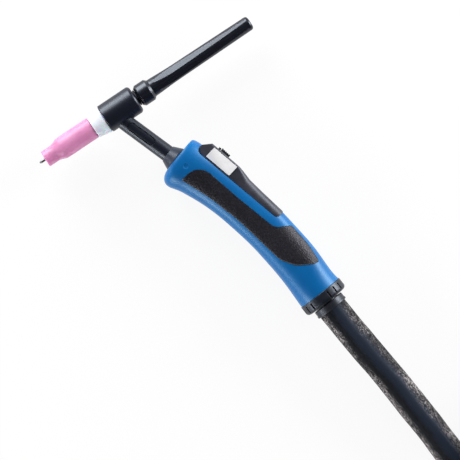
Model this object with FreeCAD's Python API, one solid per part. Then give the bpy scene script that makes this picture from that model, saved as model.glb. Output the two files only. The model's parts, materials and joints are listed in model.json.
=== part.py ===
import FreeCAD, Part
import math
import os

# A gas-cooled TIG welding torch with its hose, lying on its side on a bench.
# Sizes are in millimetres and degrees.
# While modelling, X runs along the handle towards the hose, Y towards the back cap, and Z out of the
# torch's middle plane. At the end everything moves so that the origin is under the middle of the torch.

V = FreeCAD.Vector
UP = V(0, 0, 1)
ORIGIN = V(0, 0, 0)
CUT = 1.0                 # how far a cutting shape reaches past the face it cuts
REACH = 120.0             # past every side of the handle

# Clearances
RUNNING_GAP = 0.08        # radial, where one piece turns or slides in another
REST_GAP = 0.1            # between faces of pieces that touch without moving
MOVING_GAP = 0.3          # between pieces that pass each other
FINE_EDGE = 0.4           # rounding of a turned edge

# Head: a rubber-covered cylinder, at 70 degrees to the neck
HEAD_X, HEAD_Y = -73.7, -1.5
HEAD_ANGLE = 76.8
HEAD_R = 12.45
HEAD_FRONT = 15.5
HEAD_REAR = 15.4
HEAD_REAR_ROUNDING = 3.0
CORE_R = 8.5
CORE_COVER = 0.6
FRONT_THREAD_R = 5.0
FRONT_THREAD_DEPTH = 12.0
REAR_THREAD_R = 5.6
REAR_THREAD_DEPTH = 11.5
CORE_WAY_R = 2.9

# Neck
NECK_X, NECK_Y = -40.0, -4.5
NECK_ANGLE = 6.55
NECK_R = 7.0
NECK_END = 36.0
TUBE_R = 4.0
TUBE_BORE_R = 2.5
TUBE_END = 54.0
TUBE_SEAT = 5.8
PANEL_FROM, PANEL_TO = -20.0, 7.0
PANEL_HALF = 3.6
PANEL_END_R = 3.53
PANEL_DEPTH = 0.55
BOOT_FROM, BOOT_WIDE, BOOT_TO = 20.5, 28.0, 33.0
BOOT_WALL = 0.5
BOOT_LIP_R = 0.2
BOOT_FLARE_R = 2.0
BOOT_R = 10.9

# Electrode, collet and collet body
ELECTRODE_R = 1.2
ELECTRODE_LENGTH = 150.0
ELECTRODE_STICKOUT = 5.6
ELECTRODE_POINT = 1.4
ELECTRODE_TIP_R = 0.5
COLLET_R = 2.4
COLLET_BACK = 4.0
COLLET_SLIT = 0.4
COLLET_SLIT_LENGTH = 18.0
COLLET_BODY_R = 6.2
COLLET_BODY_NOSE_R = 4.6
COLLET_BODY_TIP_R = 2.7
COLLET_BODY_LENGTH = 48.5
COLLET_BODY_THREAD = 11.6
COLLET_BODY_STEP = 1.5
COLLET_BODY_TIP = 4.0
COLLET_BODY_TIP_BORE = 2.0
COLLET_SEAT = 4.5
COLLET_SHORT = 0.3        # between the collet and its seat
GAS_HOLE_R = 0.8
GAS_HOLE_COUNT = 4
GAS_HOLE_FROM_TIP = 12.0

# Insulator ring and ceramic nozzle
INSULATOR_LENGTH = 12.0
INSULATOR_BACK_R = 11.9
INSULATOR_FRONT_R = 10.0
INSULATOR_BACK_EDGE = 1.2
INSULATOR_FRONT_EDGE = 0.8
NOZZLE_LENGTH = 47.6
NOZZLE_R = 9.5
NOZZLE_NOSE_R = 7.15
NOZZLE_SHOULDER = 31.0
NOZZLE_SHOULDER_LENGTH = 6.5
NOZZLE_THREAD = 12.0
NOZZLE_CHAMBER_R = 7.3
NOZZLE_MOUTH_R = 5.5
NOZZLE_BACK_EDGE = 1.2
NOZZLE_SHOULDER_R = 10.0
NOZZLE_NOSE_CURVE_R = 9.0
NOZZLE_INNER_CURVE_R = 3.0
NOZZLE_INNER_STEP = 1.5

# Back cap
CAP_LENGTH = 112.0
CAP_STUB_R = REAR_THREAD_R - RUNNING_GAP
CAP_COLLAR_R = 9.7
CAP_COLLAR_FROM, CAP_COLLAR_TO = 2.2, 11.2
CAP_COLLAR_CHAMFER = 1.9
CAP_BASE_R = 7.65
CAP_END_R = 6.15
CAP_END_ROUNDING = 2.4
CAP_END_DOME = 0.5
CAP_END_FLAT = 0.6        # share of the cap's end that is flat
CAP_COLLAR_EDGE = 0.3
CAP_ROOT_STEP = 0.2
CAP_ROOT_LENGTH = 0.6
CAP_STUB_SHORT = 1.0
CAP_BORE_R = 2.0
CAP_BORE_END = 5.0
CAP_FLATS = 6
CAP_FLAT_FROM = 5.0
CAP_FLAT_RUN_IN = 16.0
CAP_FLAT_R = 6.78         # from the axis to a flat, where its run-in ends
CAP_FLAT_BLEND_R = 250.0
CAP_FLAT_TURN = 27.0      # between the upper side and the nearest flat
RING_R = 0.8              # thickness of the back cap's sealing ring, as a radius

# Handle: lower point, upper point, half width and squareness of each section, from front to rear
HANDLE_SECTIONS = [
    ((-10.6, -13.5), (-12.7, 18.6), 17.2, 2.5),
    ((-7.9, -19.3), (-11.2, 21.0), 19.1, 2.5),
    ((-4.0, -21.7), (-7.0, 22.2), 19.7, 2.5),
    ((5.0, -19.6), (4.0, 23.2), 18.8, 2.5),
    ((16.0, -16.2), (16.0, 23.8), 16.8, 2.5),
    ((30.0, -13.2), (30.0, 24.6), 15.6, 2.5),
    ((52.0, -10.9), (52.0, 26.0), 15.1, 2.6),
    ((76.0, -10.4), (76.0, 27.3), 15.4, 2.7),
    ((100.0, -11.8), (100.0, 26.1), 16.8, 2.6),
    ((119.0, -13.9), (120.0, 24.2), 17.9, 2.5),
    ((134.0, -16.6), (136.0, 21.2), 18.7, 2.3),
]
SECTION_POINTS = 24
HANDLE_WALL = 2.6
REAR_X, REAR_Y = 151.1, -0.35
HOSE_ANGLE = -8.6
REAR_R = 19.3
DIMPLE_X, DIMPLE_Y = -0.8, 0.5
DIMPLE_R = 2.6
DIMPLE_DEPTH = 0.6

# Rubber grip pads: corners in side view, each with its rounding
PAD_OUTLINE = [
    (3.9, -10.5, 0.8),
    (5.3, 9.2, 14.0),
    (50.0, 10.8, 100.0),
    (86.5, 13.4, 9.0),
    (95.8, 24.3, 1.2),
    (116.0, 22.5, 60.0),
    (132.8, 18.2, 1.5),
    (131.0, 13.2, 8.0),
    (121.0, 2.2, 20.0),
    (108.0, -3.4, 16.0),
    (62.0, -2.8, 150.0),
    (30.0, -5.5, 80.0),
]
PAD_PROUD = 0.3
PAD_DEPTH = 1.4
PAD_SEAM = 0.25

# Switch module
MODULE_OUTLINE = [
    (-3.9, 15.5, 4.5),
    (83.2, 20.2, 3.5),
    (83.0, 28.05, 1.3),
    (46.0, 29.0, 0),
    (28.0, 40.0, 0),
    (11.5, 40.0, 0),
    (-3.9, 22.2, 1.0),
]
# Place along the handle, height of the roof and edge rounding of each section
MODULE_SECTIONS = [
    (-6.0, 28.7, 1.8),
    (8.0, 29.3, 1.8),
    (20.0, 29.9, 1.8),
    (31.0, 30.3, 2.0),
    (36.0, 29.8, 3.5),
    (45.0, 28.3, 6.0),
    (60.0, 28.0, 7.0),
    (85.0, 27.9, 7.5),
]
MODULE_HALF = 12.4
MODULE_FLOOR = 5.0
MODULE_WALL = 1.6
MODULE_INNER_EDGE = 0.4
BASE_FROM, BASE_TO = 2.0, 56.0
LEAD_WAY_TO = 74.0
LABEL_FROM, LABEL_TO = 5.3, 30.1
LABEL_HEIGHT = 10.0
LABEL_LOW = 17.7
LABEL_SLOPE = 2.6
LABEL_THICKNESS = 0.4
LABEL_CORNER_R = 0.5

# Buttons and switches in the module
TRIGGER_FROM, TRIGGER_TO = 10.6, 19.2
TRIGGER_TOP = 32.1
TRIGGER_HALF = 5.2
TRIGGER_TRAVEL = 1.2
TRIGGER_RIBS = 5
TRIGGER_RIB_DEPTH = 0.45
NUB_FROM, NUB_TO = 8.0, 10.1
NUB_TOP = 31.2
NUB_HALF = 2.4
NUB_TRAVEL = 0.7
BUTTON_LIP = 1.2
BUTTON_LIP_THICKNESS = 0.8
BUTTON_LIP_SHORT = 0.5
BUTTON_CORNER_R = 0.8
BUTTON_BASE = 26.9
BOARD_FROM, BOARD_TO = 6.0, 40.0
BOARD_HALF = 9.0
BOARD_LOW = 19.7
BOARD_THICKNESS = 1.5
SWITCH_FROM, SWITCH_TO = 11.0, 21.0
SWITCH_HALF = 2.9
SWITCH_TOP = 25.2
PLUNGER_HALF = 0.9
PLUNGER_GRIP = 0.5
TACT_HALF = 1.6
TACT_TOP = 25.6
SOCKET_FROM = 33.0
SOCKET_HALF = 4.5
SOCKET_TOP = 25.0

# Fittings and leads inside the handle
CLAMP_R = 9.0
CLAMP_FROM, CLAMP_TO = 36.3, 47.0
BULKHEAD_FROM, BULKHEAD_TO = 38.5, 42.5
NECK_ROOM = 2.0
FITTING_R = 8.4
FITTING_FLANGE = 4.0
FITTING_LENGTH = 16.0
POWER_R = 4.6
POWER_OUT = 3.4
GAS_R = 2.6
GAS_BORE_R = 1.6
GAS_OUT = -4.6
OUTLET_R = 3.2
NUT_FLATS = 10.0
NUT_LENGTH = 9.0
LEAD_R = 1.6
LEAD_OUT = -2.8
LEAD_RISE = 4.0
LEAD_ROUTE = [(57.0, 23.0), (80.0, 15.8), (112.0, 10.7), (134.0, 6.3)]
LEAD_HEIGHT = 23.2
LEADS_PAST_BALL = 5.0     # the leads end this far past the ball's centre, clear of its bore as it swings
SCREW_PLACES = [(1.0, -14.3), (60.0, 15.2), (118.0, -7.6)]
BOSS_R = 3.3
SCREW_HEAD_R = 2.7
SCREW_HEAD_LENGTH = 2.0
SCREW_R = 1.5
SCREW_SEAT = 6.0
SCREW_GRIP = 8.0
SCREW_END_ROOM = 0.5
SCREW_CROSS_HALF = 1.8
SCREW_CROSS_HALF_WIDTH = 0.5
SCREW_CROSS_DEPTH = 1.0

# Ball joint at the rear of the handle
BALL_R = 15.5
BALL_BACK = 2.0           # the ball's centre lies this far inside the handle's rear face
BALL_FRONT_CUT = 9.0
BALL_BORE_R = 8.6
STUB_R = 10.0
SEAT_BORE_R = 9.7
SOCKET_R = 15.8
SHOULDER_R = 13.0
SHOULDER_DEPTH = 26.0
SEAT_FROM, SEAT_TO = -11.0, -6.5
SPIGOT_R = 17.6
SPIGOT_LENGTH = 3.2
REAR_NUT_R = 20.0
REAR_NUT_LENGTH = 9.5
REAR_NUT_ROUNDING = 3.0
REAR_NUT_LIP = 7.2
REAR_NUT_MOUTH_R = 16.9
REAR_NUT_MOUTH_TAPER = 0.4
REAR_NUT_EDGE = 0.5
SLOT_WIDTH = 1.4
SLOT_LENGTH = 6.0
SLOT_DEPTH = 1.3
SLOT_FROM = 1.8
SLOT_GROUPS = 4
SLOT_STEP = 19.5
SLOT_FIRST = 33.8
FERRULE_GAP = 1.1
FERRULE_R = 13.9
FERRULE_LIP_R = 14.3
FERRULE_LENGTH = 6.0
FERRULE_LIP_LENGTH = 1.8
FERRULE_WALL = 1.0

# Hose: its route on the bench, from the ferrule to the coil, as chosen points: X, Y and height
HOSE_R = 13.0
HOSE_FIRST_RUN = 28.0
HOSE_ROUTE = [
    (223.0, -9.7, 18.4),
    (264.0, -15.0, 14.9),
    (322.0, -23.8, 13.0),
    (366.0, -35.0, 13.0),
]
COIL_X, COIL_Y = 406.0, -52.0
COIL_INNER_R = 104.0
COIL_STEP = 27.0
COIL_LAYER = 26.9
COIL_IN_TURNS = 2.25
COIL_OVER_TURNS = 0.5
COIL_OUT_TURNS = 1.77
COIL_UP_TURNS = 0.5
COIL_NODES_PER_TURN = 8
COIL_END_HEIGHT = 75.5
COIL_END_LEAN = 78.0
COIL_STRAIGHT = 2 * HOSE_R

# Machine plug, lying on the coil
PLUG_R = 20.0
PLUG_WALL = 2.4
PLUG_LENGTH = 54.0
PLUG_BACK_WALL = 5.0
PLUG_NECK_R = 16.5
PLUG_NECK_WALL = 2.0
PLUG_FRONT_WALL = 3.0
PLUG_BACK_EDGE = 2.0
PLUG_FRONT_EDGE = 1.0
PLUG_NECK_LENGTH = 8.0
PLUG_FLANGE_R = 18.0
PLUG_FLANGE_LENGTH = 2.0
RELIEF_LENGTH = 24.0
RELIEF_BACK_R = 14.8
RELIEF_FRONT_R = 18.0
RELIEF_GROOVES = 4
RELIEF_GROOVE_DEPTH = 1.0
RELIEF_BACK_EDGE = 0.6
RELIEF_FRONT_EDGE = 0.3
HOSE_IN_PLUG = 6.0
CONTACT_R = 5.0
CONTACT_ROOT_R = 6.0
CONTACT_ROOT_PROUD = 1.0
CONTACT_TIP_EDGE = 1.0
CONTACT_BACK_R = 7.0
CONTACT_BACK_LENGTH = 24.0
CONTACT_REACH = 30.0
CONTACT_BORE_R = 2.0
INSERT_LENGTH = 9.0
INSERT_PROUD = 2.0
SEAL_FROM_TIP = 5.0
SEAL_R = 0.9
SEAL_DEPTH = 1.8
PIN_R = 1.2
PIN_ROOT = 3.0
PIN_PLACE_R = 10.5
PIN_REACH = 10.0
UNION_R = 22.0
UNION_LENGTH = 22.0
UNION_BORE_R = 18.4
UNION_LIP_LENGTH = 4.6
UNION_FLUTES = 12
UNION_FLUTE_R = 1.6
UNION_FLUTE_OUT = 0.5
UNION_FLUTE_END = 3.0
UNION_EDGE = 1.0
PLUG_SCREW_PLACES = [14.0, 44.0]
PLUG_SCREW_SIDE = 13.5
PLUG_SCREW_R = 1.4
PLUG_SCREW_HEAD_R = 2.4
PLUG_SCREW_HEAD_LENGTH = 1.6
PLUG_SCREW_SEAT = 6.0
PLUG_SCREW_GRIP = 7.0
PLUG_SCREW_SLOT = 0.8
PLUG_BOSS_WALL = 1.2
PLUG_BOSS_SHORT = 0.5

BENCH = -REAR_NUT_R       # height of the bench while modelling


def direction(angle):
    """The unit vector in the torch's middle plane at this angle from X."""
    turn = math.radians(angle)
    return V(math.cos(turn), math.sin(turn), 0)


HEAD_WAY = direction(HEAD_ANGLE)
HEAD_POINT = V(HEAD_X, HEAD_Y, 0)
NECK_WAY = direction(NECK_ANGLE)
NECK_POINT = V(NECK_X, NECK_Y, 0)
HOSE_WAY = direction(HOSE_ANGLE)
REAR_POINT = V(REAR_X, REAR_Y, 0)
BALL_POINT = REAR_POINT - HOSE_WAY * BALL_BACK


def frame_at(base, way):
    """The placement that takes the Z axis to this way in the middle plane, and the Y axis to Z."""
    return FreeCAD.Placement(base, FreeCAD.Rotation(UP.cross(way), UP, way, "ZYX"))


def put(shape, base, way):
    shape = shape.copy()
    shape.Placement = frame_at(base, way).multiply(shape.Placement)
    return shape


def rounded_loop(corners, place):
    """A closed wire through these corners, with an arc at each corner that gives a rounding."""
    flat = [V(corner[0], corner[1], 0) for corner in corners]
    stretches = []
    for i, corner in enumerate(corners):
        rounding = corner[2] if len(corner) > 2 else 0
        if rounding == 0:
            stretches.append((flat[i], None, flat[i]))
            continue
        before = (flat[i - 1] - flat[i]).normalize()
        after = (flat[(i + 1) % len(flat)] - flat[i]).normalize()
        half = before.getAngle(after) / 2
        reach = rounding / math.tan(half)
        inward = (before + after).normalize()
        middle = flat[i] + inward * (rounding / math.sin(half) - rounding)
        stretches.append((flat[i] + before * reach, middle, flat[i] + after * reach))
    edges = []
    for i, (start, middle, end) in enumerate(stretches):
        if middle is not None:
            edges.append(Part.Arc(place(start), place(middle), place(end)).toShape())
        following = stretches[(i + 1) % len(stretches)][0]
        if (following - end).Length > 1e-6:
            edges.append(Part.makeLine(place(end), place(following)))
    return Part.Wire(edges)


def turned(corners):
    """A turned solid about Z, from the (radius, height) corners of half its section."""
    wire = rounded_loop(corners, lambda p: V(p.x, 0, p.y))
    return Part.Face(wire).revolve(ORIGIN, UP, 360)


def rod(radius, start, end, at=ORIGIN):
    """A cylinder along Z between two heights."""
    return Part.makeCylinder(radius, end - start, at + V(0, 0, start), UP)


def prism(corners, low, high):
    """A solid with this outline in the middle plane, between two heights."""
    wire = rounded_loop(corners, lambda p: V(p.x, p.y, low))
    return Part.Face(wire).extrude(V(0, 0, high - low))


def block(x, y, z):
    """A box from (low, high) pairs."""
    return Part.makeBox(x[1] - x[0], y[1] - y[0], z[1] - z[0], V(x[0], y[0], z[0]))


def mirrored(shape):
    return shape.mirror(ORIGIN, UP)


# Head, electrode and nozzle: heights along the head's axis are from the head point, towards the back cap

HEAD_FACE = -HEAD_FRONT
NOZZLE_BACK = HEAD_FACE - REST_GAP - INSULATOR_LENGTH - REST_GAP
NOZZLE_FRONT = NOZZLE_BACK - NOZZLE_LENGTH
COLLET_BODY_FRONT = HEAD_FACE - COLLET_BODY_LENGTH
COLLET_BORE_R = COLLET_R + RUNNING_GAP
CORE_FRONT = HEAD_FACE + CORE_COVER
CORE_REAR = HEAD_REAR - CORE_COVER
CAP_START = HEAD_REAR + 2 * RING_R + 2 * REST_GAP


def neck_crossing():
    """How far along the neck its axis meets the head's axis, seen from the neck point."""
    across = UP.cross(HEAD_WAY)
    return (HEAD_POINT - NECK_POINT).dot(across) / NECK_WAY.dot(across)


def core_solid():
    neck_start = neck_crossing()
    core = rod(CORE_R, CORE_FRONT, CORE_REAR)
    core = core.cut(rod(FRONT_THREAD_R, CORE_FRONT - CUT, CORE_FRONT + FRONT_THREAD_DEPTH))
    core = core.cut(rod(REAR_THREAD_R, CORE_REAR - REAR_THREAD_DEPTH, CORE_REAR + CUT))
    core = core.cut(rod(CORE_WAY_R, CORE_FRONT, CORE_REAR))
    core = put(core, HEAD_POINT, HEAD_WAY)
    seat = put(rod(TUBE_R, neck_start + TUBE_SEAT, neck_start + CORE_R * 2), NECK_POINT, NECK_WAY)
    way_in = put(rod(TUBE_BORE_R, neck_start, neck_start + CORE_R), NECK_POINT, NECK_WAY)
    return core.cut(seat).cut(way_in)


def head_cover():
    """The rubber over the head and the neck, in one moulding."""
    neck_start = neck_crossing()
    head = turned([
        (0, HEAD_FACE), (HEAD_R, HEAD_FACE, FINE_EDGE),
        (HEAD_R, HEAD_REAR, HEAD_REAR_ROUNDING), (0, HEAD_REAR),
    ])
    head = put(head, HEAD_POINT, HEAD_WAY)
    neck = put(rod(NECK_R, neck_start, NECK_END), NECK_POINT, NECK_WAY)
    cover = head.fuse(neck)
    inside = rod(CORE_R, CORE_FRONT, CORE_REAR)
    inside = inside.fuse(rod(FRONT_THREAD_R, HEAD_FACE - CUT, CORE_FRONT + CUT))
    inside = inside.fuse(rod(REAR_THREAD_R, CORE_REAR - CUT, HEAD_REAR + CUT))
    cover = cover.cut(put(inside, HEAD_POINT, HEAD_WAY))
    cover = cover.cut(put(rod(TUBE_R, neck_start, NECK_END + CUT), NECK_POINT, NECK_WAY))
    ring = rod(NECK_R + CUT, PANEL_FROM, PANEL_TO).cut(rod(NECK_R - PANEL_DEPTH, PANEL_FROM, PANEL_TO))
    window = [(-PANEL_HALF, PANEL_FROM, PANEL_END_R), (-PANEL_HALF, PANEL_TO, PANEL_END_R),
              (PANEL_HALF, PANEL_TO, PANEL_END_R), (PANEL_HALF, PANEL_FROM, PANEL_END_R)]
    frame = Part.Face(rounded_loop(window, lambda p: V(p.x, -NECK_R * 2, p.y)))
    panel = ring.common(frame.extrude(V(0, NECK_R * 4, 0)))
    return cover.cut(put(panel, NECK_POINT, NECK_WAY))


def collet_body():
    shoulder = HEAD_FACE - REST_GAP
    thread_r = FRONT_THREAD_R - REST_GAP
    nozzle_grip = NOZZLE_BACK - NOZZLE_THREAD
    tip = COLLET_BODY_FRONT
    tip_bore_r = ELECTRODE_R + RUNNING_GAP
    body = turned([
        (COLLET_BORE_R, shoulder + COLLET_BODY_THREAD), (thread_r, shoulder + COLLET_BODY_THREAD, FINE_EDGE),
        (thread_r, shoulder), (COLLET_BODY_R, shoulder), (COLLET_BODY_R, nozzle_grip, FINE_EDGE),
        (COLLET_BODY_NOSE_R, nozzle_grip - COLLET_BODY_STEP),
        (COLLET_BODY_NOSE_R, tip + COLLET_BODY_TIP, FINE_EDGE),
        (COLLET_BODY_TIP_R, tip), (tip_bore_r, tip),
        (tip_bore_r, tip + COLLET_BODY_TIP_BORE), (COLLET_BORE_R, tip + COLLET_SEAT),
    ])
    for i in range(GAS_HOLE_COUNT):
        turn = 2 * math.pi * (i + 0.5) / GAS_HOLE_COUNT
        way = V(math.cos(turn), math.sin(turn), 0)
        start = V(0, 0, tip + GAS_HOLE_FROM_TIP) + way * (COLLET_R / 2)
        body = body.cut(Part.makeCylinder(GAS_HOLE_R, COLLET_BODY_R, start, way))
    return put(body, HEAD_POINT, HEAD_WAY)


def collet():
    front = COLLET_BODY_FRONT + COLLET_SEAT + COLLET_SHORT
    inner = ELECTRODE_R + RUNNING_GAP
    sleeve = turned([(inner, -COLLET_BACK), (COLLET_R, -COLLET_BACK), (COLLET_R, front), (inner, front)])
    slit_heights = (front - CUT, front + COLLET_SLIT_LENGTH)
    for x, y in ((COLLET_SLIT / 2, COLLET_R + CUT), (COLLET_R + CUT, COLLET_SLIT / 2)):
        sleeve = sleeve.cut(block((-x, x), (-y, y), slit_heights))
    return put(sleeve, HEAD_POINT, HEAD_WAY)


def electrode():
    tip = NOZZLE_FRONT - ELECTRODE_STICKOUT
    return put(turned([
        (0, tip), (ELECTRODE_TIP_R, tip), (ELECTRODE_R, tip + ELECTRODE_POINT),
        (ELECTRODE_R, tip + ELECTRODE_LENGTH), (0, tip + ELECTRODE_LENGTH),
    ]), HEAD_POINT, HEAD_WAY)


def insulator():
    back = HEAD_FACE - REST_GAP
    inner = COLLET_BODY_R + RUNNING_GAP
    return put(turned([
        (inner, back), (INSULATOR_BACK_R, back, INSULATOR_BACK_EDGE),
        (INSULATOR_FRONT_R, back - INSULATOR_LENGTH, INSULATOR_FRONT_EDGE), (inner, back - INSULATOR_LENGTH),
    ]), HEAD_POINT, HEAD_WAY)


def nozzle():
    shoulder = NOZZLE_BACK - NOZZLE_SHOULDER
    nose = shoulder - NOZZLE_SHOULDER_LENGTH
    thread = COLLET_BODY_R + RUNNING_GAP
    wall_step = NOZZLE_BACK - NOZZLE_THREAD
    return put(turned([
        (thread, NOZZLE_BACK), (NOZZLE_R, NOZZLE_BACK, NOZZLE_BACK_EDGE),
        (NOZZLE_R, shoulder, NOZZLE_SHOULDER_R), (NOZZLE_NOSE_R, nose, NOZZLE_NOSE_CURVE_R),
        (NOZZLE_NOSE_R, NOZZLE_FRONT, FINE_EDGE), (NOZZLE_MOUTH_R, NOZZLE_FRONT, FINE_EDGE),
        (NOZZLE_MOUTH_R, nose, NOZZLE_INNER_CURVE_R), (NOZZLE_CHAMBER_R, shoulder, NOZZLE_INNER_CURVE_R),
        (NOZZLE_CHAMBER_R, wall_step - NOZZLE_INNER_STEP), (thread, wall_step),
    ]), HEAD_POINT, HEAD_WAY)


def cap_ring():
    """The sealing ring between the head and the back cap."""
    height = HEAD_REAR + REST_GAP + RING_R
    ring = Part.makeTorus(CAP_STUB_R + RUNNING_GAP + RING_R, RING_R, V(0, 0, height), UP)
    return put(ring, HEAD_POINT, HEAD_WAY)


def back_cap():
    start = CAP_START
    low, high = start + CAP_COLLAR_FROM, start + CAP_COLLAR_TO
    end = start + CAP_LENGTH
    stub_end = CORE_REAR - REAR_THREAD_DEPTH + CAP_STUB_SHORT
    root = high + CAP_COLLAR_CHAMFER
    cap = turned([
        (CAP_BORE_R, stub_end), (CAP_STUB_R, stub_end, FINE_EDGE), (CAP_STUB_R, start),
        (CAP_COLLAR_R - CAP_COLLAR_CHAMFER, start), (CAP_COLLAR_R, low, CAP_COLLAR_EDGE),
        (CAP_COLLAR_R, high, CAP_COLLAR_EDGE),
        (CAP_BASE_R + CAP_ROOT_STEP, root), (CAP_BASE_R, root + CAP_ROOT_LENGTH),
        (CAP_END_R, end - CAP_END_DOME, CAP_END_ROUNDING), (CAP_END_R * CAP_END_FLAT, end), (0, end),
        (0, end - CAP_BORE_END), (CAP_BORE_R, end - CAP_BORE_END),
    ])
    flat_start = high + CAP_FLAT_FROM
    taper = (CAP_BASE_R - CAP_END_R) / (end - CAP_END_DOME - root)
    reach = CAP_BASE_R * 2
    profile = rounded_loop([
        (reach, flat_start), (CAP_BASE_R - taper * (flat_start - root), flat_start),
        (CAP_FLAT_R, flat_start + CAP_FLAT_RUN_IN, CAP_FLAT_BLEND_R),
        (CAP_END_R, end - CAP_END_DOME), (CAP_END_R, end + CUT), (reach, end + CUT),
    ], lambda p: V(p.x, -reach, p.y))
    for i in range(CAP_FLATS):
        knife = Part.Face(profile).extrude(V(0, reach * 2, 0))
        knife.rotate(ORIGIN, UP, 90 - CAP_FLAT_TURN + 360 / CAP_FLATS * i)
        cap = cap.cut(knife)
    return put(cap, HEAD_POINT, HEAD_WAY)


# Neck, and what holds it in the handle

def neck_tube():
    start = neck_crossing() + TUBE_SEAT
    tube = rod(TUBE_R, start, TUBE_END).cut(rod(TUBE_BORE_R, start - CUT, TUBE_END + CUT))
    return put(tube, NECK_POINT, NECK_WAY)


def neck_boot():
    inner = NECK_R + REST_GAP / 2
    return put(turned([
        (inner, BOOT_FROM), (NECK_R + BOOT_WALL, BOOT_FROM, BOOT_LIP_R), (BOOT_R, BOOT_WIDE, BOOT_FLARE_R),
        (BOOT_R, BOOT_TO), (inner, BOOT_TO),
    ]), NECK_POINT, NECK_WAY)


def neck_clamp():
    clamp = rod(CLAMP_R, CLAMP_FROM, CLAMP_TO).cut(rod(TUBE_R, CLAMP_FROM - CUT, CLAMP_TO + CUT))
    return put(clamp, NECK_POINT, NECK_WAY)


def neck_fitting():
    """Joins the neck tube to the power cable and the gas hose."""
    flange = rod(FITTING_R, TUBE_END, TUBE_END + FITTING_FLANGE)
    outlet = rod(OUTLET_R, TUBE_END, TUBE_END + FITTING_LENGTH, V(0, POWER_OUT, 0))
    barb = rod(GAS_BORE_R, TUBE_END, TUBE_END + FITTING_LENGTH, V(0, GAS_OUT, 0))
    return put(flange.fuse([outlet, barb]), NECK_POINT, NECK_WAY)


def cable_nut():
    start = TUBE_END + FITTING_FLANGE + REST_GAP
    corner_r = NUT_FLATS / 2 / math.cos(math.radians(30))
    corners = []
    for i in range(6):
        turn = math.radians(60 * i)
        corners.append((corner_r * math.cos(turn), corner_r * math.sin(turn)))
    nut = Part.Face(rounded_loop(corners, lambda p: V(p.x, p.y + POWER_OUT, start)))
    hole = rod(OUTLET_R, start - CUT, start + NUT_LENGTH + CUT, V(0, POWER_OUT, 0))
    return put(nut.extrude(V(0, 0, NUT_LENGTH)).cut(hole), NECK_POINT, NECK_WAY)


def turn_radius(before, point, after, share=0.45):
    """The radius of the largest arc that this corner's two runs allow."""
    a, b = before - point, after - point
    half = a.getAngle(b) / 2
    return share * min(a.Length, b.Length) * math.tan(half)


def route_edges(points):
    """Straight runs joined by tangent arcs, each as large as its two runs allow."""
    edges = []
    last = points[0]
    for before, point, after in zip(points, points[1:], points[2:]):
        radius = turn_radius(before, point, after)
        to_before = (before - point).normalize()
        to_after = (after - point).normalize()
        half = to_before.getAngle(to_after) / 2
        reach = radius / math.tan(half)
        inward = (to_before + to_after).normalize()
        start, end = point + to_before * reach, point + to_after * reach
        middle = point + inward * (radius / math.sin(half) - radius)
        edges.append(Part.LineSegment(last, start).toShape())
        edges.append(Part.Arc(start, middle, end).toShape())
        last = end
    edges.append(Part.LineSegment(last, points[-1]).toShape())
    return edges


def tube_along(edges, radius):
    """A round solid along these edges."""
    path = Part.Wire(edges)
    start = edges[0].Vertexes[0].Point
    way = edges[0].tangentAt(edges[0].FirstParameter)
    ring = Part.Wire([Part.Circle(start, way, radius).toShape()])
    return path.makePipeShell([ring], True, False)


def lead_points(out, rise):
    """The route of a lead from the neck fitting to the ball, out of the middle plane and above its axis."""
    start = NECK_POINT + NECK_WAY * (TUBE_END + FITTING_LENGTH + REST_GAP)
    across = UP.cross(HOSE_WAY)
    end = BALL_POINT + HOSE_WAY * LEADS_PAST_BALL + across * rise
    gap = start - end
    corner = end + HOSE_WAY * (gap.dot(UP.cross(NECK_WAY)) / HOSE_WAY.dot(UP.cross(NECK_WAY)))
    return [point + UP * out for point in (start, corner, end)]


def power_cable():
    return tube_along(route_edges(lead_points(POWER_OUT, 0)), POWER_R)


def gas_hose():
    points = lead_points(GAS_OUT, 0)
    barb = NECK_WAY * (FITTING_LENGTH - FITTING_FLANGE)
    points[0] = points[0] - barb
    edges = route_edges(points)
    return tube_along(edges, GAS_R).cut(tube_along(edges, GAS_BORE_R))


def control_lead():
    across = UP.cross(HOSE_WAY)
    end = BALL_POINT + HOSE_WAY * LEADS_PAST_BALL + across * LEAD_RISE
    points = [V(BOARD_TO + REST_GAP, LEAD_HEIGHT, 0)]
    points += [V(x, y, 0) for x, y in LEAD_ROUTE]
    points += [end]
    points = [point + UP * LEAD_OUT for point in points]
    return tube_along(route_edges(points), LEAD_R)


# Handle shells, grip pads and screws

def handle_section(bottom, top, half_width, squareness, inset=0):
    """A closed curve between an oval and a rounded rectangle, through a lower and an upper point."""
    low, high = V(bottom[0], bottom[1], 0), V(top[0], top[1], 0)
    up = (high - low).normalize()
    tall = (high - low).Length / 2 - inset
    wide = half_width - inset
    points = []
    for i in range(SECTION_POINTS):
        turn = 2 * math.pi * (i + 0.5) / SECTION_POINTS
        c, s = math.cos(turn), math.sin(turn)
        out = wide * math.copysign(abs(c) ** (2 / squareness), c)
        rise = tall * math.copysign(abs(s) ** (2 / squareness), s)
        points.append((low + high) * 0.5 + UP * out + up * rise)
    curve = Part.BSplineCurve()
    curve.interpolate(points, True)
    return Part.Wire([curve.toShape()])


def rear_section(inset=0):
    across = UP.cross(HOSE_WAY) * REAR_R
    low, high = REAR_POINT - across, REAR_POINT + across
    return handle_section((low.x, low.y), (high.x, high.y), REAR_R, 2.0, inset)


def handle_blank(inset=0):
    wires = [handle_section(*section, inset) for section in HANDLE_SECTIONS]
    wires.append(rear_section(inset))
    return Part.makeLoft(wires, True, False)


def handle_cavity():
    wires = [handle_section(*section, HANDLE_WALL) for section in HANDLE_SECTIONS[2:]]
    return Part.makeLoft(wires, True, False)


def pad_window(reach, seam=0):
    wire = rounded_loop(PAD_OUTLINE, lambda p: V(p.x, p.y, 0))
    if seam:
        wire = wire.makeOffset2D(-seam)
    return Part.Face(wire).extrude(V(0, 0, reach))


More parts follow.
